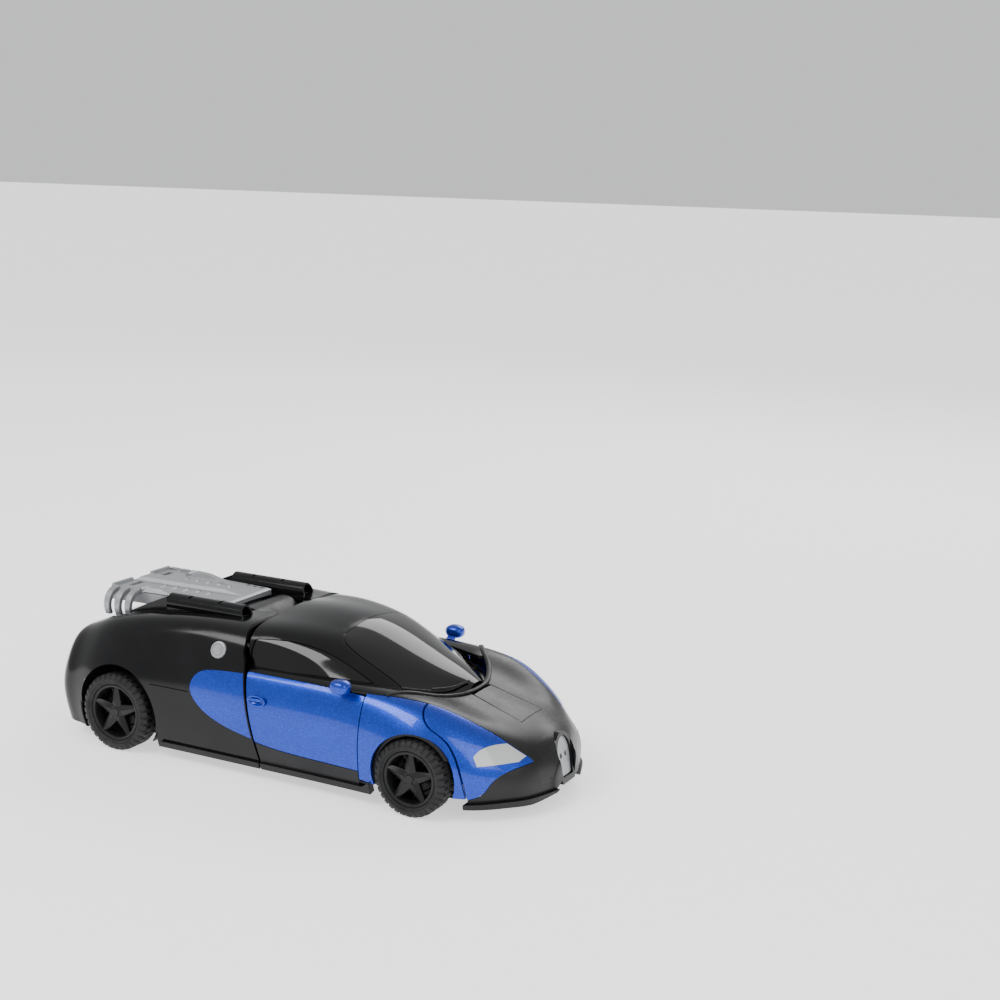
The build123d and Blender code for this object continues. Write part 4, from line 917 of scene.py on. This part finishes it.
def make_wheels():
    """Tyres with shoulder lugs and five-spoke star rims."""
    for end, (x, radius) in (("rear", (-88.0, 19.5)), ("front", (79.0, 18.0))):
        bead = radius * 0.73
        tread = [(radius, y) for y in np.linspace(TYRE_INNER_Y + 2.0, TYRE_OUTER_Y - 2.0, 9)]
        profile = [
            (bead, TYRE_INNER_Y + 1.0), (bead + 0.8, TYRE_INNER_Y + 0.2), (radius - 2.6, TYRE_INNER_Y), (
                radius - 1.9, TYRE_INNER_Y + 0.3
            ), (radius - 0.5, TYRE_INNER_Y + 1.1),
            *tread,
            (
                radius - 0.5, TYRE_OUTER_Y - 1.1
            ), (radius - 1.9, TYRE_OUTER_Y - 0.3), (radius - 2.6, TYRE_OUTER_Y), (
                radius - 3.4, TYRE_OUTER_Y - 0.05
            ),
            (
                bead + 1.5, TYRE_OUTER_Y - 0.35
            ), (bead + 1.1, TYRE_OUTER_Y - 0.8), (bead + 0.3, TYRE_OUTER_Y - 0.9), (bead, TYRE_OUTER_Y - 1.5),
        ]

        def ripple(step, index):
            phase = step % LUG_STEPS
            shoulder = index in (4, 5, 6) or index in (11, 12, 13, 14)
            if index in (3, 4, 5, 13, 14, 15):
                return -0.75 if phase in (0, 1) else 0.0
            if index == 9:
                return -0.6
            if shoulder or index in (7, 10):
                return -0.6 if (step + 4) % LUG_STEPS in (0, 1) else 0.0
            return 0.0

        tyre = lathe("tyre", profile, (x, radius), LUG_STEPS * 34, ripple)
        rim_edge = bead - 0.05
        face_y = TYRE_OUTER_Y - 1.3
        barrel = lathe("barrel", [
            (rim_edge, face_y), (
                rim_edge - 0.7, face_y + 0.25
            ), (rim_edge - 1.5, face_y - 0.1), (rim_edge - 2.0, face_y - 1.4), (
                rim_edge - 2.3, TYRE_INNER_Y + 1.4
            ), (rim_edge, TYRE_INNER_Y + 1.2),
        ], (x, radius))
        disc = lathe(
            "disc",
            [
                (0, TYRE_INNER_Y + 3.4), (4.5, TYRE_INNER_Y + 3.4), (5.0, TYRE_INNER_Y + 2.6),
                (rim_edge * 0.62, TYRE_INNER_Y + 2.6), (rim_edge * 0.66, TYRE_INNER_Y + 3.6),
                (rim_edge * 0.80, TYRE_INNER_Y + 3.6), (rim_edge * 0.82, TYRE_INNER_Y + 1.9),
                (rim_edge - 1.9, TYRE_INNER_Y + 1.9), (rim_edge - 1.9, TYRE_INNER_Y + 1.1),
                (0, TYRE_INNER_Y + 1.1)
            ],
            (x, radius), 72
        )
        hub = lathe(
            "hub",
            [
                (0, face_y + 0.1), (2.0, face_y + 0.1), (2.3, face_y - 0.5), (3.2, face_y - 0.6),
                (3.9, face_y - 1.2), (4.1, face_y - 3.8), (4.1, TYRE_INNER_Y + 2), (0, TYRE_INNER_Y + 2)
            ],
            (x, radius), 60
        )
        solids = [barrel, disc, hub]
        for arm in range(5):
            turn = math.radians(90 + 72 * arm)
            out = np.array([math.cos(turn), math.sin(turn)])
            off = np.array([-out[1], out[0]])
            corners = []
            for reach, half, top in ((2.4, 3.0, face_y - 0.35), (rim_edge - 1.2, 1.25, face_y + 0.05)):
                for share, y in (
                    (-1, top - 1.1), (1, top - 1.1), (0, top), (-0.9, top - 3.2), (0.9, top - 3.2)
                ):
                    place = out * reach + off * half * share
                    corners.append((x + place[0], y, radius + place[1]))
            solids.append(hull("arm", corners))
            nut = out * 2.75
            solids.append(
                lathe(
                    "nut",
                    [(0, face_y - 0.25), (0.42, face_y - 0.25), (0.42, face_y - 1.4), (0, face_y - 1.4)],
                    (x + nut[0], radius + nut[1]), 6
                )
            )
            rib = np.array([math.cos(turn + math.pi / 5), math.sin(turn + math.pi / 5)])
            side_way = np.array([-rib[1], rib[0]])
            solids.append(
                hull(
                    "rib",
                    [
                        (x + p[0], y, radius + p[1])
                        for p in (
                            rib * 4 + side_way * 0.6, rib * 4 - side_way * 0.6,
                            rib * (rim_edge - 2) + side_way * 0.6, rib * (rim_edge - 2) - side_way * 0.6
                        )
                        for y in (TYRE_INNER_Y + 3, TYRE_INNER_Y + 5.5)
                    ]
                )
            )
        rim = merged("rim", solids)
        body = "rear_wheels" if end == "rear" else "front_wheel_{side}"
        show_pair(f"{end}_tyre_tread", tyre, body, "tyre_rubber", [end + "_tyre_{side}"], bevel=0)
        show_pair(f"{end}_star_rim", rim, body, "black_satin", [end + "_rim_{side}"], bevel=0.16)


# ---------------------------------------------------------------- car details
def surface_point(grid, x, z):
    """Point and outward normal of the left side nearest to a side-view place."""
    normals = grid_normals(grid)
    away = (grid[..., 0] - x) ** 2 + (grid[..., 2] - z) ** 2 + np.where(grid[..., 1] > 0, 0, 1e6)
    at = np.unravel_index(away.argmin(), away.shape)
    return grid[at], normals[at]


def top_height(grid, x, y):
    """Height of the surface above a place in plan."""
    away = (grid[..., 0] - x) ** 2 + (grid[..., 1] - y) ** 2
    return float(grid[..., 2][np.unravel_index(away.argmin(), away.shape)])


def make_car_details():
    """Grille, bumper lip, lamps, wiper, caps, mirrors, sills and arch liners."""
    proud = shell_mesh("proud", FRONT_GRID + FRONT_NORMALS * 0.7, 3.0)
    sunk = shell_mesh("sunk", FRONT_GRID - FRONT_NORMALS * 1.0, 1.8)

    # grille: thick arch surround and a plate with two screw holes
    def arch(scale, low):
        return [(-6.4 * scale, low), (-8.4 * scale, 21)] + [
            (8.6 * scale * math.sin(a), 23.0 + 9.6 * scale * math.cos(a))
            for a in np.linspace(-1.45, 1.45, 28)
        ] + [(8.4 * scale, 21), (6.4 * scale, low)]

    def leaning(outline, low, high):
        mesh = prism_mesh("leaning", outline, "X", low, high)
        lean = Matrix.Identity(4)
        lean[0][2] = -GRILLE_LEAN
        mesh.transform(lean)
        return mesh

    surround = carved(
        "surround", leaning(arch(1.02, 9.6), 128.0, 135.2), cut=[leaning(arch(0.80, 12.2), 120, 140)]
    )
    show("grille_arch", surround, "nose", "black_gloss", ["grille_surround"], bevel=0.7)
    screw_y, screw_z = GRILLE_SCREW
    holes = [rod("hole", (110, y, screw_z), (140, y, screw_z), 1.2) for y in (-screw_y, screw_y)]
    plate = carved("plate", leaning(arch(0.78, 12.5), 130.0, 134.2), cut=holes)
    show("grille_shield", plate, "nose", "silver_paint", ["grille_plate"], bevel=0.35)
    for side_name, sign in SIDES:
        show(
            f"grille_screw_{side_name}",
            rod("screw", (122, sign * screw_y, screw_z), (128.0, sign * screw_y, screw_z), 1.1), "nose",
            "steel", bevel=0.2
        )

    # bumper lip and round lamps
    lip = carved(
        "lip", shell_mesh("lip_shell", FRONT_GRID + FRONT_NORMALS * 1.5, 4.5),
        keep=[side([(103, 5.9), (103, 8.4), (113, 8.8), (140, 9.4), (140, 5.9)])]
    )
    show("bumper_lip", lip, "nose", "black_satin", bevel=0.5)
    for side_name, sign in SIDES:
        lamp = carved(
            "fog", sunk, keep=[rod("fog_area", (100, sign * 31.6, 17.6), (140, sign * 31.6, 17.6), 3.0)]
        )
        show(f"fog_lamp_{side_name}", lamp, "nose", "black_gloss", bevel=0.4)

    # cowl under the windscreen and its wiper
    cowl = [(60.5, 47.4), (66.2, 39.2), (74.0, 29.2), (80.2, 17.5), (83.2, 8.5), (83.8, 0)]
    cowl += [(x, -y) for x, y in cowl[-2::-1]]
    show(
        "windscreen_cowl",
        strip("cowl", [(x, y, top_height(FRONT_GRID, x, y) + 0.4) for x, y in cowl], 2.6, 1.2), "torso",
        "black_satin", bevel=0.3
    )
    blade = [(62.5, -36.5), (69.5, -28.0), (76.0, -17.5), (79.6, -8.0)]
    show(
        "wiper_blade",
        strip(
            "blade",
            [
                (x, y, max(top_height(CABIN_GRID, x, y), top_height(FRONT_GRID, x, y)) + 0.9) for x,
                y in blade
            ],
            1.0, 1.3
        ),
        "torso", "black_satin", bevel=0.2
    )
    arm = [(81.4, -5.0), (78.0, -13.0), (71.5, -24.0)]
    show(
        "wiper_arm",
        strip(
            "wiper",
            [(x, y, max(top_height(CABIN_GRID, x, y), top_height(FRONT_GRID, x, y)) + 1.8) for x, y in arm],
            1.3, 0.9
        ),
        "torso", "black_satin", bevel=0.2
    )

    # fuel caps, flush with the shoulder
    place, normal = surface_point(REAR_GRID, -31.0, 59.5)
    cap = lathe(
        "cap",
        [
            (0, 1.0), (2.3, 1.0), (2.5, 0.6), (3.0, 0.6), (3.2, 0.95), (3.9, 0.8), (4.2, 0.3), (4.2, -1.2),
            (0, -1.2)
        ],
        (0, 0), 60
    )
    marks = [
        rod(
            "mark", (2.75 * math.cos(a), 0.4, 2.75 * math.sin(a)),
            (2.75 * math.cos(a), 0.85, 2.75 * math.sin(a)), 0.32, 10
        )
        for a in np.linspace(0, 2 * math.pi, 11)[:-1]
    ]
    cap = merged("cap", [cap, rod("knob", (-1.6, 1.2, 0), (1.6, 1.2, 0), 0.5, 16)] + marks)
    turn = Vector((0, 1, 0)).rotation_difference(Vector(normal)).to_matrix().to_4x4()
    cap.transform(Matrix.Translation(Vector(place) * MM) @ turn)
    show_pair("fuel_cap", cap, "base", "silver_paint", ["fuel_caps"], bevel=0.12)

    # door mirrors
    head = ellipsoid("mirror", (41.4, 55.4, 54.4), (5.0, 4.1, 3.4), 2.5)
    foot = hull(
        "foot",
        [
            (38.6, 50.3, 50.2), (43.6, 50.3, 50.2), (39.4, 54.4, 52.6), (43.2, 54.4, 52.6),
            (38.6, 50.3, 51.6), (43.6, 50.3, 51.6), (39.4, 54.4, 54.2), (43.2, 54.4, 54.2)
        ]
    )
    glass = carved(
        "mirror_glass", ellipsoid("glass", (40.9, 55.4, 54.4), (4.9, 3.5, 2.8), 2.5),
        keep=[slab("back", (35, 48, 48), (37.6, 62, 62))]
    )
    whole = merged("mirror", [head, foot])
    show_pair("mirror_shell", whole, "arm_{side}", "metallic_blue", ["mirror_{side}"], bevel=0.3, angle=50)
    show_pair("mirror_glass", glass, "arm_{side}", "black_gloss", bevel=0)

    # sill ledges
    rear_ledge = carved(
        "rear_ledge", shell_mesh("ledge_shell", REAR_GRID + REAR_NORMALS * 1.3, 4.0),
        keep=[side([(-63.5, 5.8), (-61.5, 8.8), (seam_x(8.6) - GAP, 8.8), (seam_x(6) - GAP, 5.8)], 0, 80)]
    )
    front_ledge = carved(
        "front_ledge", shell_mesh("ledge_shell", FRONT_GRID + FRONT_NORMALS * 1.3, 4.0),
        keep=[
            side(
                [(seam_x(6) + GAP, 5.8), (seam_x(8.6) + GAP, 8.8), (53.5, 8.8), (57.0, 11.5), (58.0, 5.8)],
                0, 80
            )
        ]
    )
    show_pair("rear_sill", rear_ledge, "base", "black_satin", bevel=0.4)
    show_pair("door_sill", front_ledge, "arm_{side}", "black_satin", bevel=0.4)

    # rear wheel arch liners
    liner = carved(
        "liner", lathe("liner_ring", [(24.6, 30.0), (24.6, 55.0), (23.9, 55.0), (23.9, 30.0)], REAR_HUB, 96),
        keep=[side([(-120, 8), (-54, 8), (-54, 60), (-120, 60)], 0, 80)]
    )
    back = carved(
        "liner_back",
        lathe("liner_disc", [(6.0, 30.0), (24.6, 30.0), (24.6, 31.0), (6.0, 31.0)], REAR_HUB, 96),
        keep=[side([(-120, 8), (-54, 8), (-54, 60), (-120, 60)], 0, 80)]
    )
    liner = merged("liner", [liner, back])
    show_pair("rear_arch", liner, "base", "black_satin", bevel=0)


# ---------------------------------------------------------------- engine cover
def make_engine_cover():
    """Silver cover on the tail deck with its clips, vents, side fins and intake pods."""
    plate = hull(
        "plate",
        [
            (x, y, z) for x,
            half in ((-118, 24), (-100, 22.8), (-47.9, 19)) for y in (-half, half) for z in (66.0, 71.6)
        ] + [(x, y, 72.5) for x, half in ((-116.8, 22.8), (-49.2, 17.8)) for y in (-half, half)]
    )
    slots = [
        rod("slot", (-95 + 7 * i, flip * 9 - 3, 73), (-95 + 7 * i, flip * 9 + 3, 73), 1.1, 16)
        for i in range(5) for flip in (-1, 1)
    ]
    vents = [
        slab(
            "vent", (-62 + 4.4 * i, flip * (17.0 - 0.35 * i) - 1.1, 70.6),
            (-59.6 + 4.4 * i, flip * (17.0 - 0.35 * i) + 1.1, 75)
        )
        for i in range(3) for flip in (-1, 1)
    ]
    pocket = [
        slab("pocket", (-112, flip * 12 - 4.6, 71.4), (-108.6, flip * 12 + 4.6, 76)) for flip in (-1, 1)
    ]
    plate = carved("plate", plate, cut=slots + vents + pocket)
    raised = [
        hull(
            "spine",
            [
                (-116, -6, 72.4), (-116, 6, 72.4), (-50, -3, 72.4), (-50, 3, 72.4), (-114, -4.4, 74.2),
                (-114, 4.4, 74.2), (-62, -2.2, 74.0), (-62, 2.2, 74.0)
            ]
        )
    ]
    for flip in (-1, 1):
        raised.append(
            hull(
                "wedge",
                [
                    (x, flip * y, z) for x, y,
                    z in (
                        (-98, 23.0, 72.2), (-98, 16.0, 72.2), (-80, 21.6, 72.2), (-80, 17.6, 72.2),
                        (-96, 21.6, 74.4), (-96, 17.0, 74.4), (-88, 21.0, 74.2), (-88, 17.4, 74.2)
                    )
                ]
            )
        )
        raised.append(rod("clip", (-99.5, flip * 16.2, 72.6), (-99.5, flip * 22.6, 72.6), 1.3, 24))
        raised.append(
            hull(
                "ramp",
                [
                    (x, flip * y, z) for x, y,
                    z in (
                        (-78, 16.6, 72.3), (-78, 13.2, 72.3), (-64, 12.0, 72.3), (-64, 10.2, 72.3),
                        (-76, 15.4, 73.6), (-76, 13.8, 73.6)
                    )
                ]
            )
        )
        raised.append(
            slab(
                "rear_lip", (-118.0, min(flip * 7.5, flip * 23), 72.0),
                (-115.6, max(flip * 7.5, flip * 23), 74.0), 0.4
            )
        )
    show("engine_lid", merged("lid", [plate] + raised), "base", "silver_paint", ["engine_cover"], bevel=0.3)
    dark = [
        slab(
            "dark", (-62 + 4.4 * i, flip * (17.0 - 0.35 * i) - 1.0, 70.4),
            (-59.6 + 4.4 * i, flip * (17.0 - 0.35 * i) + 1.0, 70.9)
        )
        for i in range(3) for flip in (-1, 1)
    ]
    show("engine_vents", merged("vents", dark), "base", "black_satin", bevel=0)

    outer = curve(((22.6, 73.6), (27.0, 72.6), (30.6, 69.2), (31.6, 64.6), (30.2, 59.6)), 20)
    inner = curve(((28.0, 60.2), (29.2, 64.4), (28.2, 67.8), (25.6, 70.2), (22.6, 71.0)), 20)
    fins = [
        prism_mesh(
            "fin", [(flip * y, z) for y, z in outer + inner], "X", -116.0 + 6.6 * row, -112.4 + 6.6 * row
        )
        for row in range(3) for flip in (-1, 1)
    ]
    show("engine_side_fins", merged("fins", fins), "base", "silver_paint", ["engine_fins"], bevel=0.6)

    tube = carved(
        "pod", rod("tube", (-76, 27, 71.2), (-27, 27, 71.2), 4.6, 64),
        keep=[side([(-77, 60), (-77, 80), (-33.5, 80), (-28.4, 66), (-28.4, 60)], 10, 40)],
        cut=[
            rod("mouth", (-37, 27, 71.2), (-20, 27, 71.2), 3.6, 48),
            slab("groove", (-46, 20, 74.6), (-44.8, 34, 78)),
            slab("groove", (-64, 20, 74.6), (-62.8, 34, 78))
        ],
    )
    bed = slab("bed", (-76, 22.6, 66.0), (-31, 31.4, 70.6), 0.4)
    ramp = hull(
        "pod_ramp",
        [
            (x, y, z) for x, z0,
            z1 in (
                (-98, 61.5, 64.5), (-86, 62.5, 70.2), (-75.9, 64, 74.6)
            ) for y in (22.8, 31.2) for z in (z0, z1)
        ]
    )
    whole = merged("pod", [tube, bed, ramp])
    show_pair("intake_pod", whole, "base", "black_gloss", ["intake_pods"], bevel=0.4)


# ---------------------------------------------------------------- robot head
def make_head():
    """Helmeted head of a plain design, which lies face down under the bonnet."""
    helmet = ellipsoid("helmet", (92.0, 0, 31.0), (8.0, 8.1, 9.6), 3.2, 32)
    helmet = carved(
        "helmet", helmet,
        cut=[
            slab("face_gap", (80, -5.2, 15), (94.6, 5.2, 26.0)),
            slab("brow_gap", (93.2, -6.0, 15), (95.6, 6.0, 23.4))
        ]
    )
    solids = [helmet]
    solids.append(
        hull(
            "crest",
            [
                (88, -1.4, 24), (88, 1.4, 24), (99.4, -1.4, 23.4), (99.4, 1.4, 23.4), (99.9, -1.0, 38),
                (99.9, 1.0, 38), (97.0, 0, 20.9)
            ]
        )
    )
    solids.append(
        hull(
            "brow",
            [
                (94.2, -6.4, 24.5), (94.2, 6.4, 24.5), (96.4, -5.8, 24.0), (96.4, 5.8, 24.0),
                (93.6, 0, 20.8), (96.0, 0, 20.6), (94.6, -6.2, 22.8), (94.6, 6.2, 22.8)
            ]
        )
    )
    for flip in (-1, 1):
        solids.append(
            lathe(
                "ear",
                [
                    (0, flip * 9.8), (2.2, flip * 9.8), (2.4, flip * 9.2), (3.2, flip * 9.2),
                    (3.5, flip * 9.6), (4.2, flip * 9.3), (4.3, flip * 7.4), (0, flip * 7.4)
                ],
                (91.0, 31.0), 48
            )
        )
        solids.append(
            hull(
                "cheek",
                [
                    (84.4, flip * 4.4, 21.2), (84.4, flip * 7.2, 25), (91.6, flip * 7.4, 25),
                    (91.6, flip * 5.2, 21.6), (84.8, flip * 5.8, 27), (91.6, flip * 6.6, 28)
                ]
            )
        )
        solids.append(
            hull(
                "horn",
                [
                    (93, flip * 8.2, 30), (93, flip * 9.4, 30), (99.6, flip * 8.0, 31.4),
                    (93, flip * 8.2, 33), (93, flip * 9.4, 33)
                ]
            )
        )
    show("helmet", merged("helmet", solids), "head", "black_gloss", ["robot_head"], bevel=0.3, angle=40)
    face = [ellipsoid("face", (90.2, 0, 26.6), (5.0, 4.8, 5.6), 2.6)]
    face.append(
        hull(
            "guard",
            [
                (84.6, -3.0, 21.2), (84.6, 3.0, 21.2), (88.4, -3.6, 20.6), (88.4, 3.6, 20.6),
                (85.4, 0, 19.4), (88.0, 0, 19.2), (84.8, -3.4, 25), (84.8, 3.4, 25), (88.4, -4, 25),
                (88.4, 4, 25)
            ]
        )
    )
    show("face_guard", merged("face", face), "head", "black_satin", ["robot_face"], bevel=0.2)
    visor = carved(
        "visor", ellipsoid("visor", (92.0, 0, 26.0), (1.3, 4.9, 4.7), 3.0),
        keep=[slab("front", (88, -8, 15), (96, 8, 25))]
    )
    show("visor", visor, "head", "pearl_lamp", bevel=0)
    ahead = Vector((22.0, 0, 11.0)).normalized()
    foot = Vector((84.0, 0, 36.5))
    neck = [rod("neck", foot - ahead * 26, foot, 3.0, 40)]
    for step in range(5):
        neck.append(
            rod(
                "collar", foot - ahead * (3.0 + 3.2 * step), foot - ahead * (1.2 + 3.2 * step),
                7.0 - 0.15 * step, 40
            )
        )
    show("neck", merged("neck", neck), "head", "black_satin", bevel=0.25)


# ---------------------------------------------------------------- robot armour and rear end
def plates(name, outline, ridge, back_z, front_z, crown_z):
    """Faceted plate: a flat outline at the back, the same drawn in at the front, and a raised ridge."""
    middle = np.mean(np.array(outline), axis=0)
    inner = [tuple(middle + (np.array(p) - middle) * 0.86) for p in outline]
    points = [(x, y, back_z) for x, y in outline] + [(x, y, (back_z + front_z) / 2) for x, y in outline]
    points += [(x, y, front_z) for x, y in inner] + [(x, y, crown_z) for x, y in ridge]
    return hull(name, points)


def make_armour():
    """Blue and silver armour on the front of the torso, which faces down while it is a car."""
    chest, silver, waist, knees = [], [], [], []
    for flip in (-1, 1):
        def both(points):
            return [(x, flip * y) for x, y in points]

        chest.append(
            plates(
                "wing", both([(47, 34.5), (45.5, 24), (43.5, 13), (33, 9), (31, 19), (38, 31)]),
                both([(42, 28), (38, 13)]), 25.5, 21.5, 19.8
            )
        )
        chest.append(
            plates(
                "pectoral", both([(38.5, 4), (43, 12.5), (36, 18), (27, 17), (21, 10), (21, 3)]),
                both([(37, 9), (27, 9)]), 27.0, 20.6, 18.9
            )
        )
        chest.append(
            plates(
                "rib", both([(24, 16.5), (20, 9), (12.6, 1), (12.6, 6), (15.5, 12.5)]), both([(18, 8)]),
                27.0, 22.2, 20.8
            )
        )
        silver.append(
            plates(
                "collar", both([(50, 12), (43.5, 13), (31, 0.6), (36, 0.2), (46, 3)]),
                both([(45, 9), (37, 2.4)]), 21.8, 19.2, 18.1
            )
        )
        waist.append(
            plates(
                "hip", both([(12, 26.5), (9.5, 11), (1, 9), (-5.5, 17), (-4.5, 29), (5, 31)]),
                both([(6, 25), (4, 13)]), 38.4, 35.4, 34.0
            )
        )
        knees.append(
            plates(
                "shell", both([(-46.5, 16), (-46.5, 31), (-37, 32.5), (-27, 31), (-27, 16), (-36, 14.8)]),
                both([(-43, 23.5), (-32, 23.5)]), 33.0, 23.4, 21.4
            )
        )
        knees.append(
            hull(
                "kneecap",
                [
                    (x, flip * y, z) for x, y,
                    z in (
                        (-46, 30, 26), (-46, 33.4, 27), (-28, 30, 26), (-28, 33.4, 27), (-31, 33.4, 36),
                        (-44, 33.4, 34), (-31, 30, 36), (-44, 30, 34)
                    )
                ]
            )
        )
    chest.append(plates("belly", [(22, 5), (22, -5), (12.6, -4), (12.6, 4)], [(18, 0)], 27.0, 21.6, 20.0))
    waist.append(
        plates(
            "belt", [(11, 9), (11, -9), (3, -10), (0, -6), (0, 6), (3, 10)], [(7, 3), (7, -3)], 38.4, 34.6,
            33.4
        )
    )
    silver_waist = [
        plates(
            "tongue", [(1.0, 6.2), (1.0, -6.2), (-13, -7), (-20, -3.6), (-23, 0), (-20, 3.6), (-13, 7)],
            [(-2, 0), (-16, 0)], 38.4, 34.8, 33.0
        )
    ]
    show(
        "chest_shell", merged("chest", chest), "torso", "metallic_blue", ["chest_armour"], bevel=0.25,
        angle=12
    )
    show(
        "chest_collar", merged("collar", silver), "torso", "silver_paint", ["chest_plate"], bevel=0.2,
        angle=12
    )
    show(
        "waist_shell", merged("waist", waist), "torso", "metallic_blue", ["waist_armour"], bevel=0.25,
        angle=12
    )
    show(
        "waist_tongue", merged("tongue", silver_waist), "torso", "silver_paint", ["waist_plate"], bevel=0.2,
        angle=12
    )
    show("knee_shells", merged("knees", knees), "torso", "metallic_blue", ["knee_pads"], bevel=0.3, angle=12)

    # hexagonal bosses and a flat box on the foot block
    bosses = []
    for y in (-25, -9, 9, 25):
        bosses.append(rod("hexagon", (0.6, y, 28.4), (2.6, y, 28.4), 3.6, 6))
        bosses.append(rod("hexagon", (2.0, y, 28.4), (3.2, y, 28.4), 2.0, 6))
    bosses.append(slab("box", (17.0, -8.4, 9.0), (22.6, 8.4, 14.6), 1.2))
    for flip in (-1, 1):
        bosses.append(
            hull(
                "shin",
                [
                    (x, flip * y, z) for x, y,
                    z in ((3, 12, 9), (3, 20, 9), (10, 12, 9), (8, 20, 9), (3, 12, 13.4), (3, 20, 12.4))
                ]
            )
        )
        bosses.append(
            slab(
                "toe_cap", (23.0, min(flip * 22.5, flip * 32.5), 5.6),
                (30.0, max(flip * 22.5, flip * 32.5), 7.2), 0.8
            )
        )
    show("foot_bosses", merged("bosses", bosses), "base", "black_satin", bevel=0.25)


def make_rear_end():
    """Tail lamps, the panel under the tail and its fins."""
    lens_shell = shell_mesh("lens_shell", REAR_GRID + REAR_NORMALS * 0.35, 1.8)
    bezel_shell = shell_mesh("bezel_shell", REAR_GRID + REAR_NORMALS * 0.6, 2.0)
    lamp_y, lamp_z = TAIL_LAMP
    for side_name, sign in SIDES:
        ring, lens = (
            [
                rod("area", (-140, sign * lamp_y, lamp_z), (-120, sign * lamp_y, lamp_z), radius, 60)
            ] for radius in (5.6, 4.7)
        )
        show(
            f"tail_lens_{side_name}", carved("lens", lens_shell, keep=lens), "base", "red_lens",
            ["tail_lamps"], bevel=0.15
        )
        show(
            f"tail_bezel_{side_name}", carved("bezel", bezel_shell, keep=ring, cut=lens), "base",
            "black_satin", bevel=0.2
        )
    under = [
        (x, flip * y, z) for x, y,
        z in (
            (-119, 45, 6.4), (-126, 40, 8.0), (-130, 33, 13), (-131.6, 28, 20), (-119, 46, 12),
            (-124, 43, 17)
        ) for flip in (-1, 1)
    ]
    solids = [hull("diffuser", under)]
    for y in (-24, -12, 0, 12, 24):
        solids.append(
            hull(
                "blade",
                [
                    (x, y + t, z) for x,
                    z in ((-122, 6.3), (-131.6, 9.6), (-131.9, 15), (-122, 12)) for t in (-0.7, 0.7)
                ]
            )
        )
    valance = [
        (x, flip * y, z) for x, y,
        z in (
            (-122, 40, 8), (-126, 37, 9), (-130.4, 30, 27), (-122, 40, 27), (-130.8, 26, 15)
        ) for flip in (-1, 1)
    ]
    show("rear_valance", hull("valance", valance), "base", "black_gloss", bevel=0.6)
    show("rear_diffuser", merged("diffuser", solids), "base", "black_satin", bevel=0.4)


make_camera()
make_studio()
dress_cad_nodes()
make_body()
make_wheels()
make_car_details()
make_engine_cover()
make_head()
make_armour()
make_rear_end()
